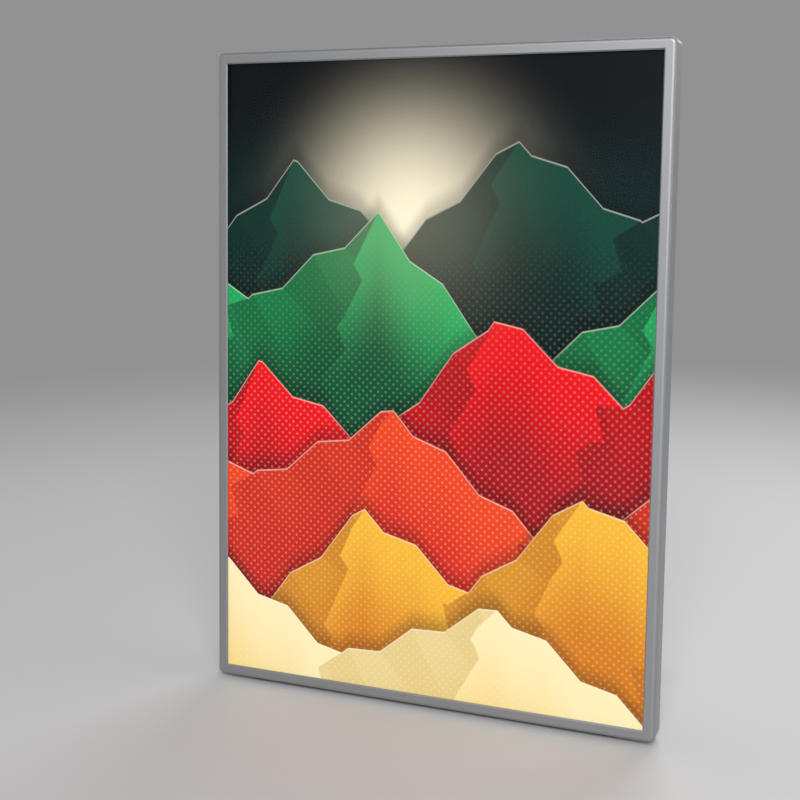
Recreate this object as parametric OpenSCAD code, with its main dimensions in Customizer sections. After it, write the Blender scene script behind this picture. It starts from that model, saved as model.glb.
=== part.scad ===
// Slim light box for one poster: an edge-lit panel in a mitred aluminium frame, with a front cover that
// magnets hold, and two rear feet that swing out to stand it up. All lengths are in millimetres.
//
// Each piece is drawn in the panel's own frame: X to the viewer's right from the middle, Y from the
// bezel's face towards the back, Z up from the panel's bottom edge. stand() then leans the panel back.

/* [Poster] */
// Width of the printed film
poster_w = 297; // [250:1:420]
// Height of the printed film
poster_h = 420; // [297:1:594]
// Thickness of the printed film
poster_t = 0.3; // [0.2:0.05:0.5]
// Part of each film edge that the bezel covers
poster_overlap = 2; // [1:0.25:2.5]

/* [Front cover] */
// Width of the bezel's face
bezel_face = 7.5; // [7.25:0.25:12]
// Depth of the cover, from its face to its rear rim
cover_depth = 3.2; // [3:0.1:4.5]
// Radius of the panel's outer corners
corner_r = 4; // [3:0.25:5]
// Radius of the bezel's rolled outer edge
edge_roll = 2.5; // [1:0.25:2.75]
// Thickness of the bezel in front of the lens
bezel_t = 1.2; // [1:0.05:1.4]
// Width of the chamfer round the window
window_chamfer = 0.8; // [0.4:0.1:0.9]
// Thickness of the bezel's rear rim
rim_wall = 1.3; // [1:0.1:1.6]
// Thickness of the clear lens
lens_t = 2.2; // [1.9:0.1:3]
// Part of each lens edge that the bezel covers
lens_ledge = 2.5; // [1.5:0.25:2.75]
// Depth of the recess that the lens drops into
lens_recess = 0.4; // [0.2:0.05:0.5]
// Length of a magnet bar
magnet_l = 12; // [6:1:20]
// Width of a magnet bar
magnet_w = 2.8; // [2:0.1:3]
// Thickness of a magnet bar
magnet_t = 1.4; // [1:0.05:1.5]
// Distance of the end magnets from the panel's corners
magnet_inset = 45; // [30:1:80]
// Gap between the cover and the frame
seam_gap = 0.2; // [0.1:0.05:0.4]

/* [Light engine] */
// Thickness of the opal diffuser
diffuser_t = 1.2; // [1:0.1:2]
// Thickness of the light guide plate
guide_t = 4; // [3:0.5:6]
// Part of the light guide plate's edge that the rails' front land covers
guide_hold = 0.5; // [0.4:0.05:0.6]
// Thickness of the white reflector sheet
reflector_t = 0.5; // [0.3:0.1:1]
// Thickness of an LED board
led_board_t = 1; // [0.8:0.1:1.2]
// Width of an LED board, along the panel's depth
led_board_w = 4.6; // [4.4:0.1:5]
// Distance of an LED board's ends from the panel's ends
led_board_inset = 8; // [6:0.5:14]
// Length of an LED, along its board
led_l = 3.5; // [2:0.1:5]
// Width of an LED
led_w = 2.8; // [1.4:0.1:3]
// Height of an LED
led_h = 0.8; // [0.6:0.05:1]
// Distance from one LED to the next
led_pitch = 12.5; // [8:0.5:30]
// Gap between the LEDs and the light guide plate
led_gap = 0.4; // [0.2:0.05:0.5]
// Length of the solder tab on an LED board
tab_l = 8; // [7:0.5:9]
// Distance of the solder tab from a corner key's leg
tab_step = 3; // [2:0.5:4]
// Width of a foam pad
foam_w = 44; // [20:1:60]
// Height of a foam pad
foam_h = 18; // [10:1:30]
// Distance of the outer foam pads from the panel's middle, sideways
foam_side = 80; // [60:1:90]
// Distance of the outer foam pads from the panel's middle, up and down
foam_rise = 90; // [50:1:100]

/* [Frame] */
// Thickness of a rail's outer wall
wall = 1.8; // [1.5:0.1:2]
// Width of a rail's rear flange, from the panel's edge
flange_w = 8; // [7.8:0.1:10]
// Thickness of a rail's rear flange
flange_t = 2; // [1.6:0.1:2.4]
// Chamfer on a rail's rear outer edge
rail_chamfer = 0.5; // [0.2:0.1:1]
// Width of a steel keeper strip
keeper_w = 2.5; // [2:0.1:2.6]
// Thickness of a steel keeper strip
keeper_t = 0.8; // [0.5:0.05:0.9]
// Radius of the thumb scoop at the top seam
scoop_r = 12; // [8:0.5:16]
// Depth of the thumb scoop
scoop_depth = 1.2; // [0.6:0.1:1.4]

/* [Corner joints] */
// Length of a corner key's leg, from the panel's corner
key_leg = 24; // [22:1:30]
// Width of a corner key's leg
key_w = 5.2; // [4.5:0.1:5.4]
// Thickness of a corner key
key_t = 3.8; // [3:0.1:4.2]
// Chamfer on the ends of a corner key's legs
key_taper = 1; // [0.5:0.1:1.5]
// Distance of a key's screw from the panel's corner
key_hole = 16; // [14:0.5:18]

/* [Screws] */
// Shank radius of the frame's screws
screw_r = 1.2; // [1:0.05:1.3]
// Head radius of the frame's screws
head_r = 2.5; // [2.2:0.05:2.6]
// Height of a pan head
pan_h = 1.4; // [1:0.1:1.7]
// Radius of a pan head's flat top, as a share of the head's radius
pan_flat = 0.7; // [0.5:0.05:0.9]
// Depth of a countersunk head
sink_h = 1.3; // [1:0.1:1.5]
// Length of the back panel's screws beyond the flange
screw_tip = 0.4; // [0.2:0.1:0.6]
// Distance of the side screws from a corner key's leg
side_screw_step = 8; // [7:0.5:12]
// Distance of the end screws' heads from a foot's bracket
end_screw_step = 2; // [1:0.5:10]

/* [Back panel] */
// Thickness of the back panel
back_t = 1.5; // [1:0.1:2]
// Height of the rails' rim behind the back panel
rim_h = 0.2; // [0:0.1:0.6]
// Radius of a keyhole's entry
keyhole_r = 4.5; // [4:0.1:6]
// Width of a keyhole's slot
keyhole_slot = 4.6; // [3.5:0.1:5]
// Rise of a keyhole's slot above its entry
keyhole_rise = 9; // [7:0.5:14]
// Distance between the keyholes
keyhole_span = 160; // [120:1:180]
// Distance of the keyholes' entries below the panel's top
keyhole_drop = 45; // [35:1:62]
// Distance of the pressed bead's middle from the panel's sides
bead_side = 34; // [30:1:40]
// Distance of the pressed bead's middle from the panel's ends
bead_end = 78; // [72:1:90]
// Radius of the bead's corners, to its middle
bead_r = 18; // [12:1:30]
// Width of the bead at its foot
bead_w = 8; // [7:0.5:10]
// Width of the bead's flat top
bead_flat = 4; // [3:0.5:5]
// Height of the bead
bead_h = 0.8; // [0.4:0.1:1]

/* [Control board] */
// Length of the control board, up the panel
board_l = 56; // [54:1:70]
// Width of the control board
board_w = 22; // [21:0.5:30]
// Thickness of the control board
board_t = 1.2; // [1:0.1:1.4]
// Distance of the control board from the side screw below it
board_step = 9; // [7:0.5:20]
// Distance of the board's screws from its ends
board_hole_step = 4; // [3.5:0.25:5]
// Shank radius of the board's screws
board_screw_r = 1; // [0.8:0.05:1.1]
// Head radius of the board's screws
board_head_r = 2; // [1.8:0.05:2.2]
// Depth of the board screws' countersunk heads
board_sink_h = 1; // [0.8:0.1:1.3]
// Radius of the board's nuts, over their corners
nut_r = 2.3; // [2:0.1:2.6]
// Thickness of the board's nuts
nut_t = 1.6; // [1.2:0.1:2.2]
// Width of the driver chip
chip_w = 6; // [3:0.5:7]
// Thickness of the driver chip
chip_t = 1.4; // [0.8:0.1:2.4]
// Length of the driver chip, up the board
chip_l = 5; // [3:0.5:6]
// Width of the connector
socket_w = 8; // [4:0.5:10]
// Thickness of the connector
socket_t = 2.2; // [1.6:0.1:3]
// Length of the connector, up the board
socket_l = 4; // [3:0.25:5]
// Radius of the driver's coil
coil_r = 2.8; // [2:0.1:3]
// Height of the driver's coil
coil_h = 2.4; // [1.5:0.1:3]
// Height of the driver chip above the board's lower end
chip_z = 24; // [12:1:28]
// Height of the coil below the board's upper end
coil_drop = 16; // [14:1:18]
// Height of the connector's foot below the board's upper end
socket_drop = 6; // [5:0.5:8]
// Distance of the board's parts from its inner edge
part_edge = 1; // [0.5:0.1:1.5]

/* [Power jack and switch] */
// Length of the power jack's housing
jack_l = 10.5; // [9:0.5:12]
// Width of the power jack's housing
jack_w = 6.6; // [5.5:0.1:8]
// Height of the power jack's housing
jack_h = 4.4; // [4.3:0.05:5]
// Radius of the power jack's bore
jack_bore_r = 1.8; // [1.5:0.05:1.9]
// Thickness of the jack's wall behind its bore
jack_end = 2; // [1:0.1:3]
// Radius of the jack's centre pin
jack_pin_r = 0.65; // [0.5:0.05:0.8]
// Distance of the centre pin's end inside the jack's mouth
jack_pin_back = 1; // [0.5:0.1:2]
// Ring of the rail's hole that is wider than the jack's bore
jack_rim = 0.5; // [0.2:0.1:1]
// Height of the jack above the board's lower end
jack_rise = 16; // [14:0.5:18]
// Height of the switch above the board's lower end
switch_rise = 37; // [34:0.5:39]
// Length of the switch housing
switch_l = 9.4; // [8.6:0.1:11]
// Depth of the switch housing behind the rail
switch_d = 3.6; // [3:0.1:4.5]
// Height of the switch housing
switch_h = 4.3; // [3.6:0.1:4.4]
// Thickness of the switch housing behind the knob's well
switch_end = 1.8; // [1:0.1:2.2]
// Travel of the switch knob
switch_travel = 4; // [3:0.25:4]
// Length of the switch knob
knob_l = 3.4; // [3:0.1:3.6]
// Width of the switch knob
knob_w = 1.6; // [1.4:0.1:2]
// Height of the switch knob above the rail's face
knob_out = 0.6; // [0.3:0.1:1.5]
// Length of the finger recess beyond the switch's slot
finger_more = 7; // [4:0.5:9]
// Width of the finger recess
finger_w = 5.6; // [4:0.2:6.4]
// Depth of the finger recess
finger_depth = 0.7; // [0.3:0.1:1]

/* [Leads] */
// Radius of an internal lead
lead_r = 0.55; // [0.4:0.05:0.7]
// Bend radius of an internal lead
lead_bend = 2; // [1.5:0.25:2.5]
// Distance from one lead to the next on the board
lead_step = 3; // [2.5:0.25:3.5]
// Distance of the first lead from the board's left edge
lead_edge = 7; // [6.5:0.25:8]
// Length of a lead's end on the board
lead_pad = 6; // [3:0.5:8]

/* [Foot brackets] */
// Distance of a foot's hinge from the panel's side
foot_inset = 29; // [27:1:40]
// Distance of a bracket above the panel's bottom edge
bracket_z = 4; // [3.5:0.25:8]
// Thickness of a bracket's plate
plate_t = 2; // [1.8:0.1:3]
// Width of a bracket's plate
plate_w = 32; // [31:0.5:36]
// Radius of a bracket plate's corners
plate_r = 3; // [1:0.5:4]
// Thickness of a bracket's ear
ear_t = 4; // [3:0.5:6]
// Shank radius of a bracket's screws
bracket_screw_r = 1.4; // [1.2:0.05:1.5]
// Head radius of a bracket's screws
bracket_head_r = 2.6; // [2.4:0.1:3]
// Head height of a bracket's screws
bracket_head_h = 1.7; // [1.2:0.1:2]
// Distance of the screws' heads from the plate's sides
bracket_screw_edge = 1.2; // [0.6:0.1:1.6]
// Height of the lower screws above the plate's foot
bracket_screw_low = 11; // [11:0.5:15]
// Distance of the upper screws below the plate's top
bracket_screw_high = 7; // [5:0.5:10]
// Radius of the round nuts in the back panel
bracket_nut_r = 3; // [2.4:0.1:3.5]
// Thickness of the round nuts in the back panel
bracket_nut_t = 1.6; // [1.2:0.1:2.2]

/* [Hinges] */
// Radius of a hinge barrel
barrel_r = 4.5; // [4.2:0.1:5]
// Height of a hinge barrel
barrel_h = 30; // [28:1:40]
// Gap between a hinge barrel and its bracket's plate
hinge_gap = 0.3; // [0.2:0.05:0.6]
// Radius of a hinge pin
hinge_pin_r = 2; // [1.6:0.05:2.2]
// Running clearance between a foot's barrel and its pin
hinge_play = 0.05; // [0.03:0.01:0.08]
// Thickness of a hinge washer
washer_t = 0.5; // [0.4:0.1:1]
// Radius of a pin's head
pin_head_r = 3.2; // [2.8:0.1:4]
// Height of a pin's head
pin_head_h = 1.4; // [0.8:0.1:2.4]
// Length of a pin below its lower ear
pin_tail = 2; // [1.2:0.1:2.4]
// Radius of a pin's clip
clip_r = 3.4; // [2.8:0.1:4]
// Thickness of a pin's clip
clip_t = 0.6; // [0.4:0.1:0.8]
// Depth of the groove that the clip sits in
clip_groove = 0.4; // [0.2:0.05:0.6]
// Width of a clip's mouth, as a share of the neck that it grips
clip_mouth = 0.8; // [0.6:0.05:0.9]

/* [Foot arms] */
// Reach of a foot behind its hinge
foot_reach = 95; // [75:1:105]
// Thickness of a foot's arm
foot_t = 5; // [4:0.25:5.5]
// Height of a foot's arm at its tip
foot_tip_h = 8; // [7:0.5:12]
// Depth of the curve in the top of a foot's arm
foot_sag = 9; // [4:0.5:10]
// Rim left round the hollow of a foot's arm
foot_rim = 3; // [2:0.25:3.5]
// Depth of the hollow on each side of a foot's arm
foot_hollow = 1; // [0.4:0.1:1.4]
// Reach of the heel that stops a foot, beyond its barrel
heel_out = 2.6; // [1.5:0.1:3]
// Height of the heel that stops a foot
heel_h = 16; // [8:1:24]
// Length of a rubber boot along its arm
boot_l = 15; // [10:0.5:20]
// Thickness of a rubber boot's walls
boot_wall = 2; // [1.5:0.25:3]
// Thickness of a rubber boot's sole at the arm's end
boot_sole = 2.5; // [1.5:0.25:4]

/* [Standing] */
// Lean of the panel behind the upright, in degrees
lean = 3; // [1:0.25:4]
// Height of the panel's bottom front edge above the ground that it stands on
base_lift = 2.2; // [1.75:0.1:3]
// Width of the rubber base strip
strip_w = 10; // [8:0.5:11]
// Distance of the base strip's ends from the panel's sides
strip_inset = 24; // [15:1:60]
// Depth of the channel that the base strip sits in
strip_seat = 0.5; // [0.3:0.1:0.8]

/* [Clearances] */
// Room beside a loose piece in its seat
slip = 0.1; // [0.05:0.05:0.15]
// Room round a screw or boot in its hole
bore_slip = 0.05; // [0.03:0.01:0.06]
// Room round a sheet inside the frame
sheet_slip = 0.3; // [0.25:0.05:0.35]
// Room round a pin in its ear
press_slip = 0.02; // [0.01:0.01:0.03]

/* [Hidden] */
$fn = 64;

// How far a cutter runs past what it cuts
over = 1;

// The whole panel
panel_w = poster_w - 2 * poster_overlap + 2 * bezel_face;
panel_h = poster_h - 2 * poster_overlap + 2 * bezel_face;
side_x = panel_w / 2;

// Depths of the layers, from the bezel's face. The rear cavity takes the tallest part on the board.
lens_y1 = bezel_t + lens_t;
channel_y = bezel_t + lens_recess;
land_y = cover_depth + seam_gap;
poster_y = max(lens_y1, land_y) + slip;
diffuser_y = poster_y + poster_t;
guide_y = diffuser_y + diffuser_t;
reflector_y = guide_y + guide_t;
cavity_y = reflector_y + reflector_t;
flange_y = cavity_y + sheet_slip + max(jack_h, switch_h, key_t) + slip;
back_y = flange_y + flange_t;
back_y1 = back_y + back_t;
panel_depth = back_y1 + rim_h;

// Distances inward from the panel's outer edge
lens_in = bezel_face - lens_ledge;
film_in = bezel_face - poster_overlap;
magnet_in = rim_wall + 2 * slip;
keeper_in = magnet_in;
led_in = wall + led_board_t;
guide_side_in = led_in + led_h + led_gap;
guide_end_in = wall + sheet_slip;
land_w = max(guide_side_in + guide_hold, keeper_in + keeper_w + sheet_slip);
diffuser_in = land_w + sheet_slip;
back_in = wall + 2 * slip;
bead_spread = (bead_w - bead_flat) / (2 * bead_h);
bead_inner = back_t * (norm([bead_spread, 1]) - bead_spread);
key_in = wall + slip;
key_mid = key_in + key_w / 2;
flange_mid = (wall + flange_w) / 2;

// Screws
screw_hole_r = screw_r + bore_slip;
board_hole_r = board_screw_r + bore_slip;
bracket_hole_r = bracket_screw_r + slip;
screw_inset = key_leg + side_screw_step;
end_screw_inset = foot_inset + plate_w / 2 + head_r + end_screw_step;

// LED boards
led_board_y = guide_y + slip;
led_count = floor((panel_h - 2 * led_board_inset - led_l) / led_pitch) + 1;
led_z0 = (panel_h - (led_count - 1) * led_pitch) / 2;
led_y = guide_y + guide_t / 2;
tab_z = key_leg + tab_step;

// Control board, and the jack and switch that sit in its left edge
board_y = flange_y - board_t;
board_in = wall + sheet_slip;
board_z = screw_inset + board_step;
outlet_in = wall + bore_slip;
jack_y = flange_y - slip - jack_h / 2;
jack_z = board_z + jack_rise;
jack_depth = jack_l - jack_end;
jack_pin_l = jack_depth - jack_pin_back;
switch_y = flange_y - slip - switch_h / 2;
switch_z = board_z + switch_rise;
switch_well = switch_d - switch_end;
slot_l = switch_travel + knob_l + 4 * slip;
slot_w = knob_w + 4 * slip;
finger_l = slot_l + finger_more;

// Leads, a quarter of the way in from each end of the solder tabs
lead_y = board_y - lead_r - bore_slip;
lead_in = board_in + lead_edge;
lead_top = board_z + lead_pad;
positive_z = tab_z + tab_l * 3 / 4;
negative_z = tab_z + tab_l / 4;

// Hinges, from the lower ear up
hinge_x = side_x - foot_inset;
plate_y1 = back_y1 + plate_t;
hinge_y = plate_y1 + hinge_gap + barrel_r;
washer_z = bracket_z + ear_t + bore_slip;
barrel_z = washer_z + washer_t + bore_slip;
barrel_z1 = barrel_z + barrel_h;
upper_washer_z = barrel_z1 + bore_slip;
upper_ear_z = upper_washer_z + washer_t + bore_slip;
bracket_z1 = upper_ear_z + ear_t;
clip_z = bracket_z - 2 * bore_slip - clip_t;
bracket_screw_x = plate_w / 2 - bracket_head_r - bracket_screw_edge;

// Base strip, midway under the rails
strip_y = (land_y + panel_depth) / 2;
strip_y0 = strip_y - strip_w / 2;
strip_y1 = strip_y + strip_w / 2;

// Height of the ground in the panel's frame, below the depth y
function ground_z(y) = y * tan(lean) - base_lift / cos(lean);

// Place on the ground, from front to back, of the point below the depth y
function ground_y(y) = y * cos(lean) + ground_z(y) * sin(lean);

// Lower edge of a foot's arm at the distance s behind its hinge: level under the barrel, then down to the tip
foot_tip_z = ground_z(hinge_y + foot_reach) + boot_sole;
foot_tip_z1 = foot_tip_z + foot_tip_h;
foot_flat = barrel_r + slip;
foot_slope = (foot_tip_z - barrel_z) / (foot_reach - foot_flat);
function foot_low(s) = barrel_z + foot_slope * max(s - foot_flat, 0);

// The circle that cuts the curve in the top of a foot's arm, through the curve's two ends
curve_a = [barrel_r + foot_rim / 2, barrel_z1];
curve_b = [foot_reach - boot_l - foot_rim, foot_tip_z1];
curve_chord = norm(curve_b - curve_a);
curve_r = (curve_chord * curve_chord / 4 + foot_sag * foot_sag) / (2 * foot_sag);
curve_up = [curve_a[1] - curve_b[1], curve_b[0] - curve_a[0]] / curve_chord;
curve_centre = (curve_a + curve_b) / 2 + curve_up * (curve_r - foot_sag);

// Stands the panel on the ground, with the origin under the middle of the base strip
module stand() {
  translate([0, -ground_y(strip_y), base_lift])
    rotate([-lean, 0, 0])
      children();
}

// A box between two opposite corners
module block(low, high) {
  translate(low)
    cube(high - low);
}

// Extrudes an outline drawn in X and Z from the depth y0 to y1
module along_y(y0, y1) {
  translate([0, y1, 0])
    rotate([90, 0, 0])
      linear_extrude(y1 - y0)
        children();
}

// Extrudes an outline drawn in Y and Z from x0 to x1
module along_x(x0, x1) {
  translate([x0, 0, 0])
    rotate([90, 0, 90])
      linear_extrude(x1 - x0)
        children();
}

// Extrudes an edge section, drawn as distance inward and depth, along the panel's bottom edge
module bottom_edge(length) {
  translate([length / 2, 0, 0])
    rotate([0, -90, 0])
      linear_extrude(length)
        children();
}

// Extrudes an edge section along the panel's right edge, from z0 to z1
module right_edge(z0, z1) {
  translate([side_x, 0, z0])
    mirror([1, 0, 0])
      linear_extrude(z1 - z0)
        children();
}

// A round rod or cone along the depth
module rod_y(y0, y1, r0, r1) {
  translate([0, y0, 0])
    rotate([-90, 0, 0])
      cylinder(h = y1 - y0, r1 = r0, r2 = r1);
}

// The panel's rectangle, drawn in by the given distances at its sides and ends
module inset_rect(side, end) {
  translate([side - side_x, end])
    square([panel_w - 2 * side, panel_h - 2 * end]);
}

// A rectangle with round corners, from its lower left corner
module round_rect(w, h, r) {
  translate([r, 0])
    square([w - 2 * r, h]);
  translate([0, r])
    square([w, h - 2 * r]);
  for (x = [r, w - r], y = [r, h - r])
    translate([x, y])
      circle(r);
}

// Repeats what is drawn at the bottom edge, right edge or bottom right corner round the panel
module on_left() {
  mirror([1, 0, 0])
    children();
}

module on_top() {
  translate([0, 0, panel_h])
    mirror([0, 0, 1])
      children();
}

module both_ends() {
  children();
  on_top()
    children();
}

module both_sides() {
  children();
  on_left()
    children();
}

module four_corners() {
  both_ends()
    both_sides()
      children();
}

// Places of the back panel's screws on the bottom and right rails
module end_screw_places() {
  for (x = [-1, 0, 1])
    translate([x * (side_x - end_screw_inset), 0, flange_mid])
      children();
}

module side_screw_places() {
  for (z = [screw_inset, panel_h / 2, panel_h - screw_inset])
    translate([side_x - flange_mid, 0, z])
      children();
}

module back_screw_places() {
  both_ends()
    end_screw_places()
      children();
  both_sides()
    side_screw_places()
      children();
}

// Places of the corner keys' screws in the bottom right corner
module end_key_place() {
  translate([side_x - key_hole, 0, key_mid])
    children();
}

module side_key_place() {
  translate([side_x - key_mid, 0, key_hole])
    children();
}

// Places of the control board's screws
module board_screw_places() {
  for (z = [board_z + board_hole_step, board_z + board_l - board_hole_step])
    translate([flange_mid - side_x, 0, z])
      children();
}

// Places of the right bracket's screws
module bracket_screw_places() {
  heights = [bracket_z + bracket_screw_low, bracket_z1 - bracket_screw_high];
  for (x = [-bracket_screw_x, bracket_screw_x], z = heights)
    translate([hinge_x + x, 0, z])
      children();
}

// A countersunk hole through the rails' flange, with room for its screw
module flange_sink(shank_r, sunk_r, depth) {
  rod_y(flange_y - over, back_y + over, shank_r + bore_slip, shank_r + bore_slip);
  rod_y(back_y - depth, back_y, shank_r + bore_slip, sunk_r + bore_slip);
}

// A countersunk screw that sits flush in the flange and ends at the depth tip
module sunk_screw(shank_r, sunk_r, depth, tip) {
  rod_y(tip, back_y, shank_r, shank_r);
  rod_y(back_y - depth, back_y, shank_r, sunk_r);
}

// A pan-head screw with its head on the face at the depth y
module pan_screw(y, tip, shank_r, pan_r, height) {
  rod_y(tip, y + height / 2, shank_r, shank_r);
  rod_y(y, y + height / 2, pan_r, pan_r);
  rod_y(y + height / 2, y + height, pan_r, pan_r * pan_flat);
}

// Front cover

module rolled_section() {
  difference() {
    square([corner_r, cover_depth]);
    difference() {
      square(edge_roll);
      translate([edge_roll, edge_roll])
        circle(edge_roll);
    }
  }
}

module rolled_corner() {
  translate([side_x - corner_r, 0, corner_r])
    rotate([-90, 0, 0])
      rotate_extrude(angle = 90)
        translate([corner_r, 0])
          mirror([1, 0])
            rolled_section();
}

module rolled_slab() {
  along_y(0, cover_depth)
    inset_rect(corner_r, corner_r);
  both_ends()
    bottom_edge(panel_w - 2 * corner_r)
      rolled_section();
  both_sides()
    right_edge(corner_r, panel_h - corner_r)
      rolled_section();
  four_corners()
    rolled_corner();
}

// Outline of the window's chamfer across its span, as place and depth
function chamfer_points(low, high) = [
  [low - window_chamfer - over, -over],
  [high + window_chamfer + over, -over],
  [high, window_chamfer],
  [low, window_chamfer]
];

module window_cut() {
  along_y(0, cover_depth)
    inset_rect(bezel_face, bezel_face);
  intersection() {
    linear_extrude(panel_h)
      polygon(chamfer_points(bezel_face - side_x, side_x - bezel_face));
    bottom_edge(panel_w)
      polygon(chamfer_points(bezel_face, panel_h - bezel_face));
  }
}

module front_bezel() {
  color("silver")
    stand()
      difference() {
        rolled_slab();
        along_y(channel_y, cover_depth + over)
          translate([rim_wall - side_x, rim_wall])
            round_rect(panel_w - 2 * rim_wall, panel_h - 2 * rim_wall, corner_r - rim_wall);
        along_y(bezel_t, cover_depth + over)
          inset_rect(lens_in - slip, lens_in - slip);
        window_cut();
      }
}

module cover_lens() {
  color("aliceblue", 0.3)
    stand()
      along_y(bezel_t, lens_y1)
        inset_rect(lens_in, lens_in);
}

module cover_magnets() {
  end_places = [magnet_inset - side_x, 0, side_x - magnet_inset];
  side_places = [magnet_inset, panel_h / 2, panel_h - magnet_inset];
  color("dimgray")
    stand() {
      both_ends()
        for (x = end_places)
          translate([x, 0, 0])
            block([-magnet_l / 2, channel_y, magnet_in],
                  [magnet_l / 2, channel_y + magnet_t, magnet_in + magnet_w]);
      both_sides()
        for (z = side_places)
          translate([side_x, 0, z])
            block([-magnet_in - magnet_w, channel_y, -magnet_l / 2],
                  [-magnet_in, channel_y + magnet_t, magnet_l / 2]);
    }
}

// Picture and light engine

module poster_print() {
  color("firebrick")
    stand()
      along_y(poster_y, diffuser_y)
        inset_rect(film_in, film_in);
}

module diffuser_sheet() {
  color("white")
    stand()
      along_y(diffuser_y, guide_y)
        inset_rect(diffuser_in, diffuser_in);
}

module light_guide_plate() {
  color("azure", 0.5)
    stand()
      along_y(guide_y, reflector_y)
        inset_rect(guide_side_in, guide_end_in);
}

module reflector_sheet() {
  color("whitesmoke")
    stand()
      along_y(reflector_y, cavity_y)
        inset_rect(guide_side_in, guide_end_in);
}

module foam_pads() {
  outer = [for (x = [-foam_side, foam_side], z = [-foam_rise, foam_rise]) [x, 0, z]];
  color("darkslategray")
    stand()
      for (place = concat([[0, 0, 0]], outer))
        translate([0, 0, panel_h / 2] + place)
          block([-foam_w / 2, cavity_y, -foam_h / 2], [foam_w / 2, back_y, foam_h / 2]);
}

module led_board() {
  tab_y1 = lead_y + lead_r + sheet_slip;
  block([side_x - led_in, led_board_y, led_board_inset],
        [side_x - wall, led_board_y + led_board_w, panel_h - led_board_inset]);
  block([side_x - led_in, led_board_y, tab_z], [side_x - wall, tab_y1, tab_z + tab_l]);
}

module led_row() {
  for (i = [0 : led_count - 1])
    translate([side_x - led_in, led_y, led_z0 + i * led_pitch])
      block([-led_h, -led_w / 2, -led_l / 2], [0, led_w / 2, led_l / 2]);
}

module left_led_board() {
  color("seagreen")
    stand()
      on_left()
        led_board();
}

module right_led_board() {
  color("seagreen")
    stand()
      led_board();
}

module left_leds() {
  color("khaki")
    stand()
      on_left()
        led_row();
}

module right_leds() {
  color("khaki")
    stand()
      led_row();
}

// Frame

// Section of a rail, as distance inward and depth
module rail_section() {
  groove_in = keeper_in - bore_slip;
  groove_end = keeper_in + keeper_w + bore_slip;
  polygon([
    [0, land_y + rail_chamfer / 2],
    [rail_chamfer / 2, land_y],
    [groove_in, land_y],
    [groove_in, land_y + keeper_t],
    [groove_end, land_y + keeper_t],
    [groove_end, land_y],
    [land_w, land_y],
    [land_w, guide_y],
    [wall, guide_y],
    [wall, flange_y],
    [flange_w, flange_y],
    [flange_w, back_y],
    [wall, back_y],
    [wall, panel_depth],
    [rail_chamfer, panel_depth],
    [0, panel_depth - rail_chamfer]
  ]);
}

// The panel's outline with its round corners, cut at 45 degrees to leave the bottom or right edge
module mitre_outline(points) {
  intersection() {
    translate([-side_x, 0])
      round_rect(panel_w, panel_h, corner_r);
    polygon(points);
  }
}

module end_rail() {
  deep = flange_w + over;
  points = [[-side_x, 0], [side_x, 0], [side_x - deep, deep], [deep - side_x, deep]];
  difference() {
    intersection() {
      bottom_edge(panel_w)
        rail_section();
      along_y(0, panel_depth + over)
        mitre_outline(points);
    }
    end_screw_places()
      rod_y(flange_y - over, back_y + over, screw_hole_r, screw_hole_r);
    both_sides()
      end_key_place()
        flange_sink(screw_r, head_r, sink_h);
  }
}

module side_rail() {
  deep = flange_w + over;
  points = [[side_x, 0], [side_x, panel_h], [side_x - deep, panel_h - deep], [side_x - deep, deep]];
  difference() {
    intersection() {
      right_edge(0, panel_h)
        rail_section();
      along_y(0, panel_depth + over)
        mitre_outline(points);
    }
    side_screw_places()
      rod_y(flange_y - over, back_y + over, screw_hole_r, screw_hole_r);
    both_ends()
      side_key_place()
        flange_sink(screw_r, head_r, sink_h);
  }
}

module top_rail() {
  color("silver")
    stand()
      difference() {
        on_top()
          end_rail();
        translate([0, land_y, panel_h + scoop_r - scoop_depth])
          sphere(scoop_r);
      }
}

module bottom_rail() {
  strip_x = side_x - strip_inset + slip;
  color("silver")
    stand()
      difference() {
        end_rail();
        block([-strip_x, strip_y0 - slip, -over], [strip_x, strip_y1 + slip, strip_seat]);
      }
}

// The switch's slot, in a finger recess in the left rail's face
module switch_slot() {
  translate([-side_x, switch_y, switch_z]) {
    block([-over, -slot_w / 2, -slot_l / 2], [wall + over, slot_w / 2, slot_l / 2]);
    rotate([0, 90, 0])
      translate([-finger_l / 2, -finger_w / 2, -over])
        linear_extrude(finger_depth + over)
          round_rect(finger_l, finger_w, finger_w / 2 - slip);
  }
}

module left_rail() {
  color("silver")
    stand()
      difference() {
        on_left()
          side_rail();
        translate([-side_x - over, jack_y, jack_z])
          rotate([0, 90, 0])
            cylinder(h = wall + 2 * over, r = jack_bore_r + jack_rim);
        switch_slot();
        board_screw_places()
          flange_sink(board_screw_r, board_head_r, board_sink_h);
      }
}

module right_rail() {
  color("silver")
    stand()
      side_rail();
}

module keeper_strips() {
  keeper_end = keeper_in + keeper_w + bore_slip * 2;
  keeper_y1 = land_y + keeper_t;
  color("lightslategray")
    stand() {
      both_ends()
        block([keeper_end - side_x, land_y, keeper_in],
              [side_x - keeper_end, keeper_y1, keeper_in + keeper_w]);
      both_sides()
        block([side_x - keeper_in - keeper_w, land_y, keeper_end],
              [side_x - keeper_in, keeper_y1, panel_h - keeper_end]);
    }
}

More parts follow.
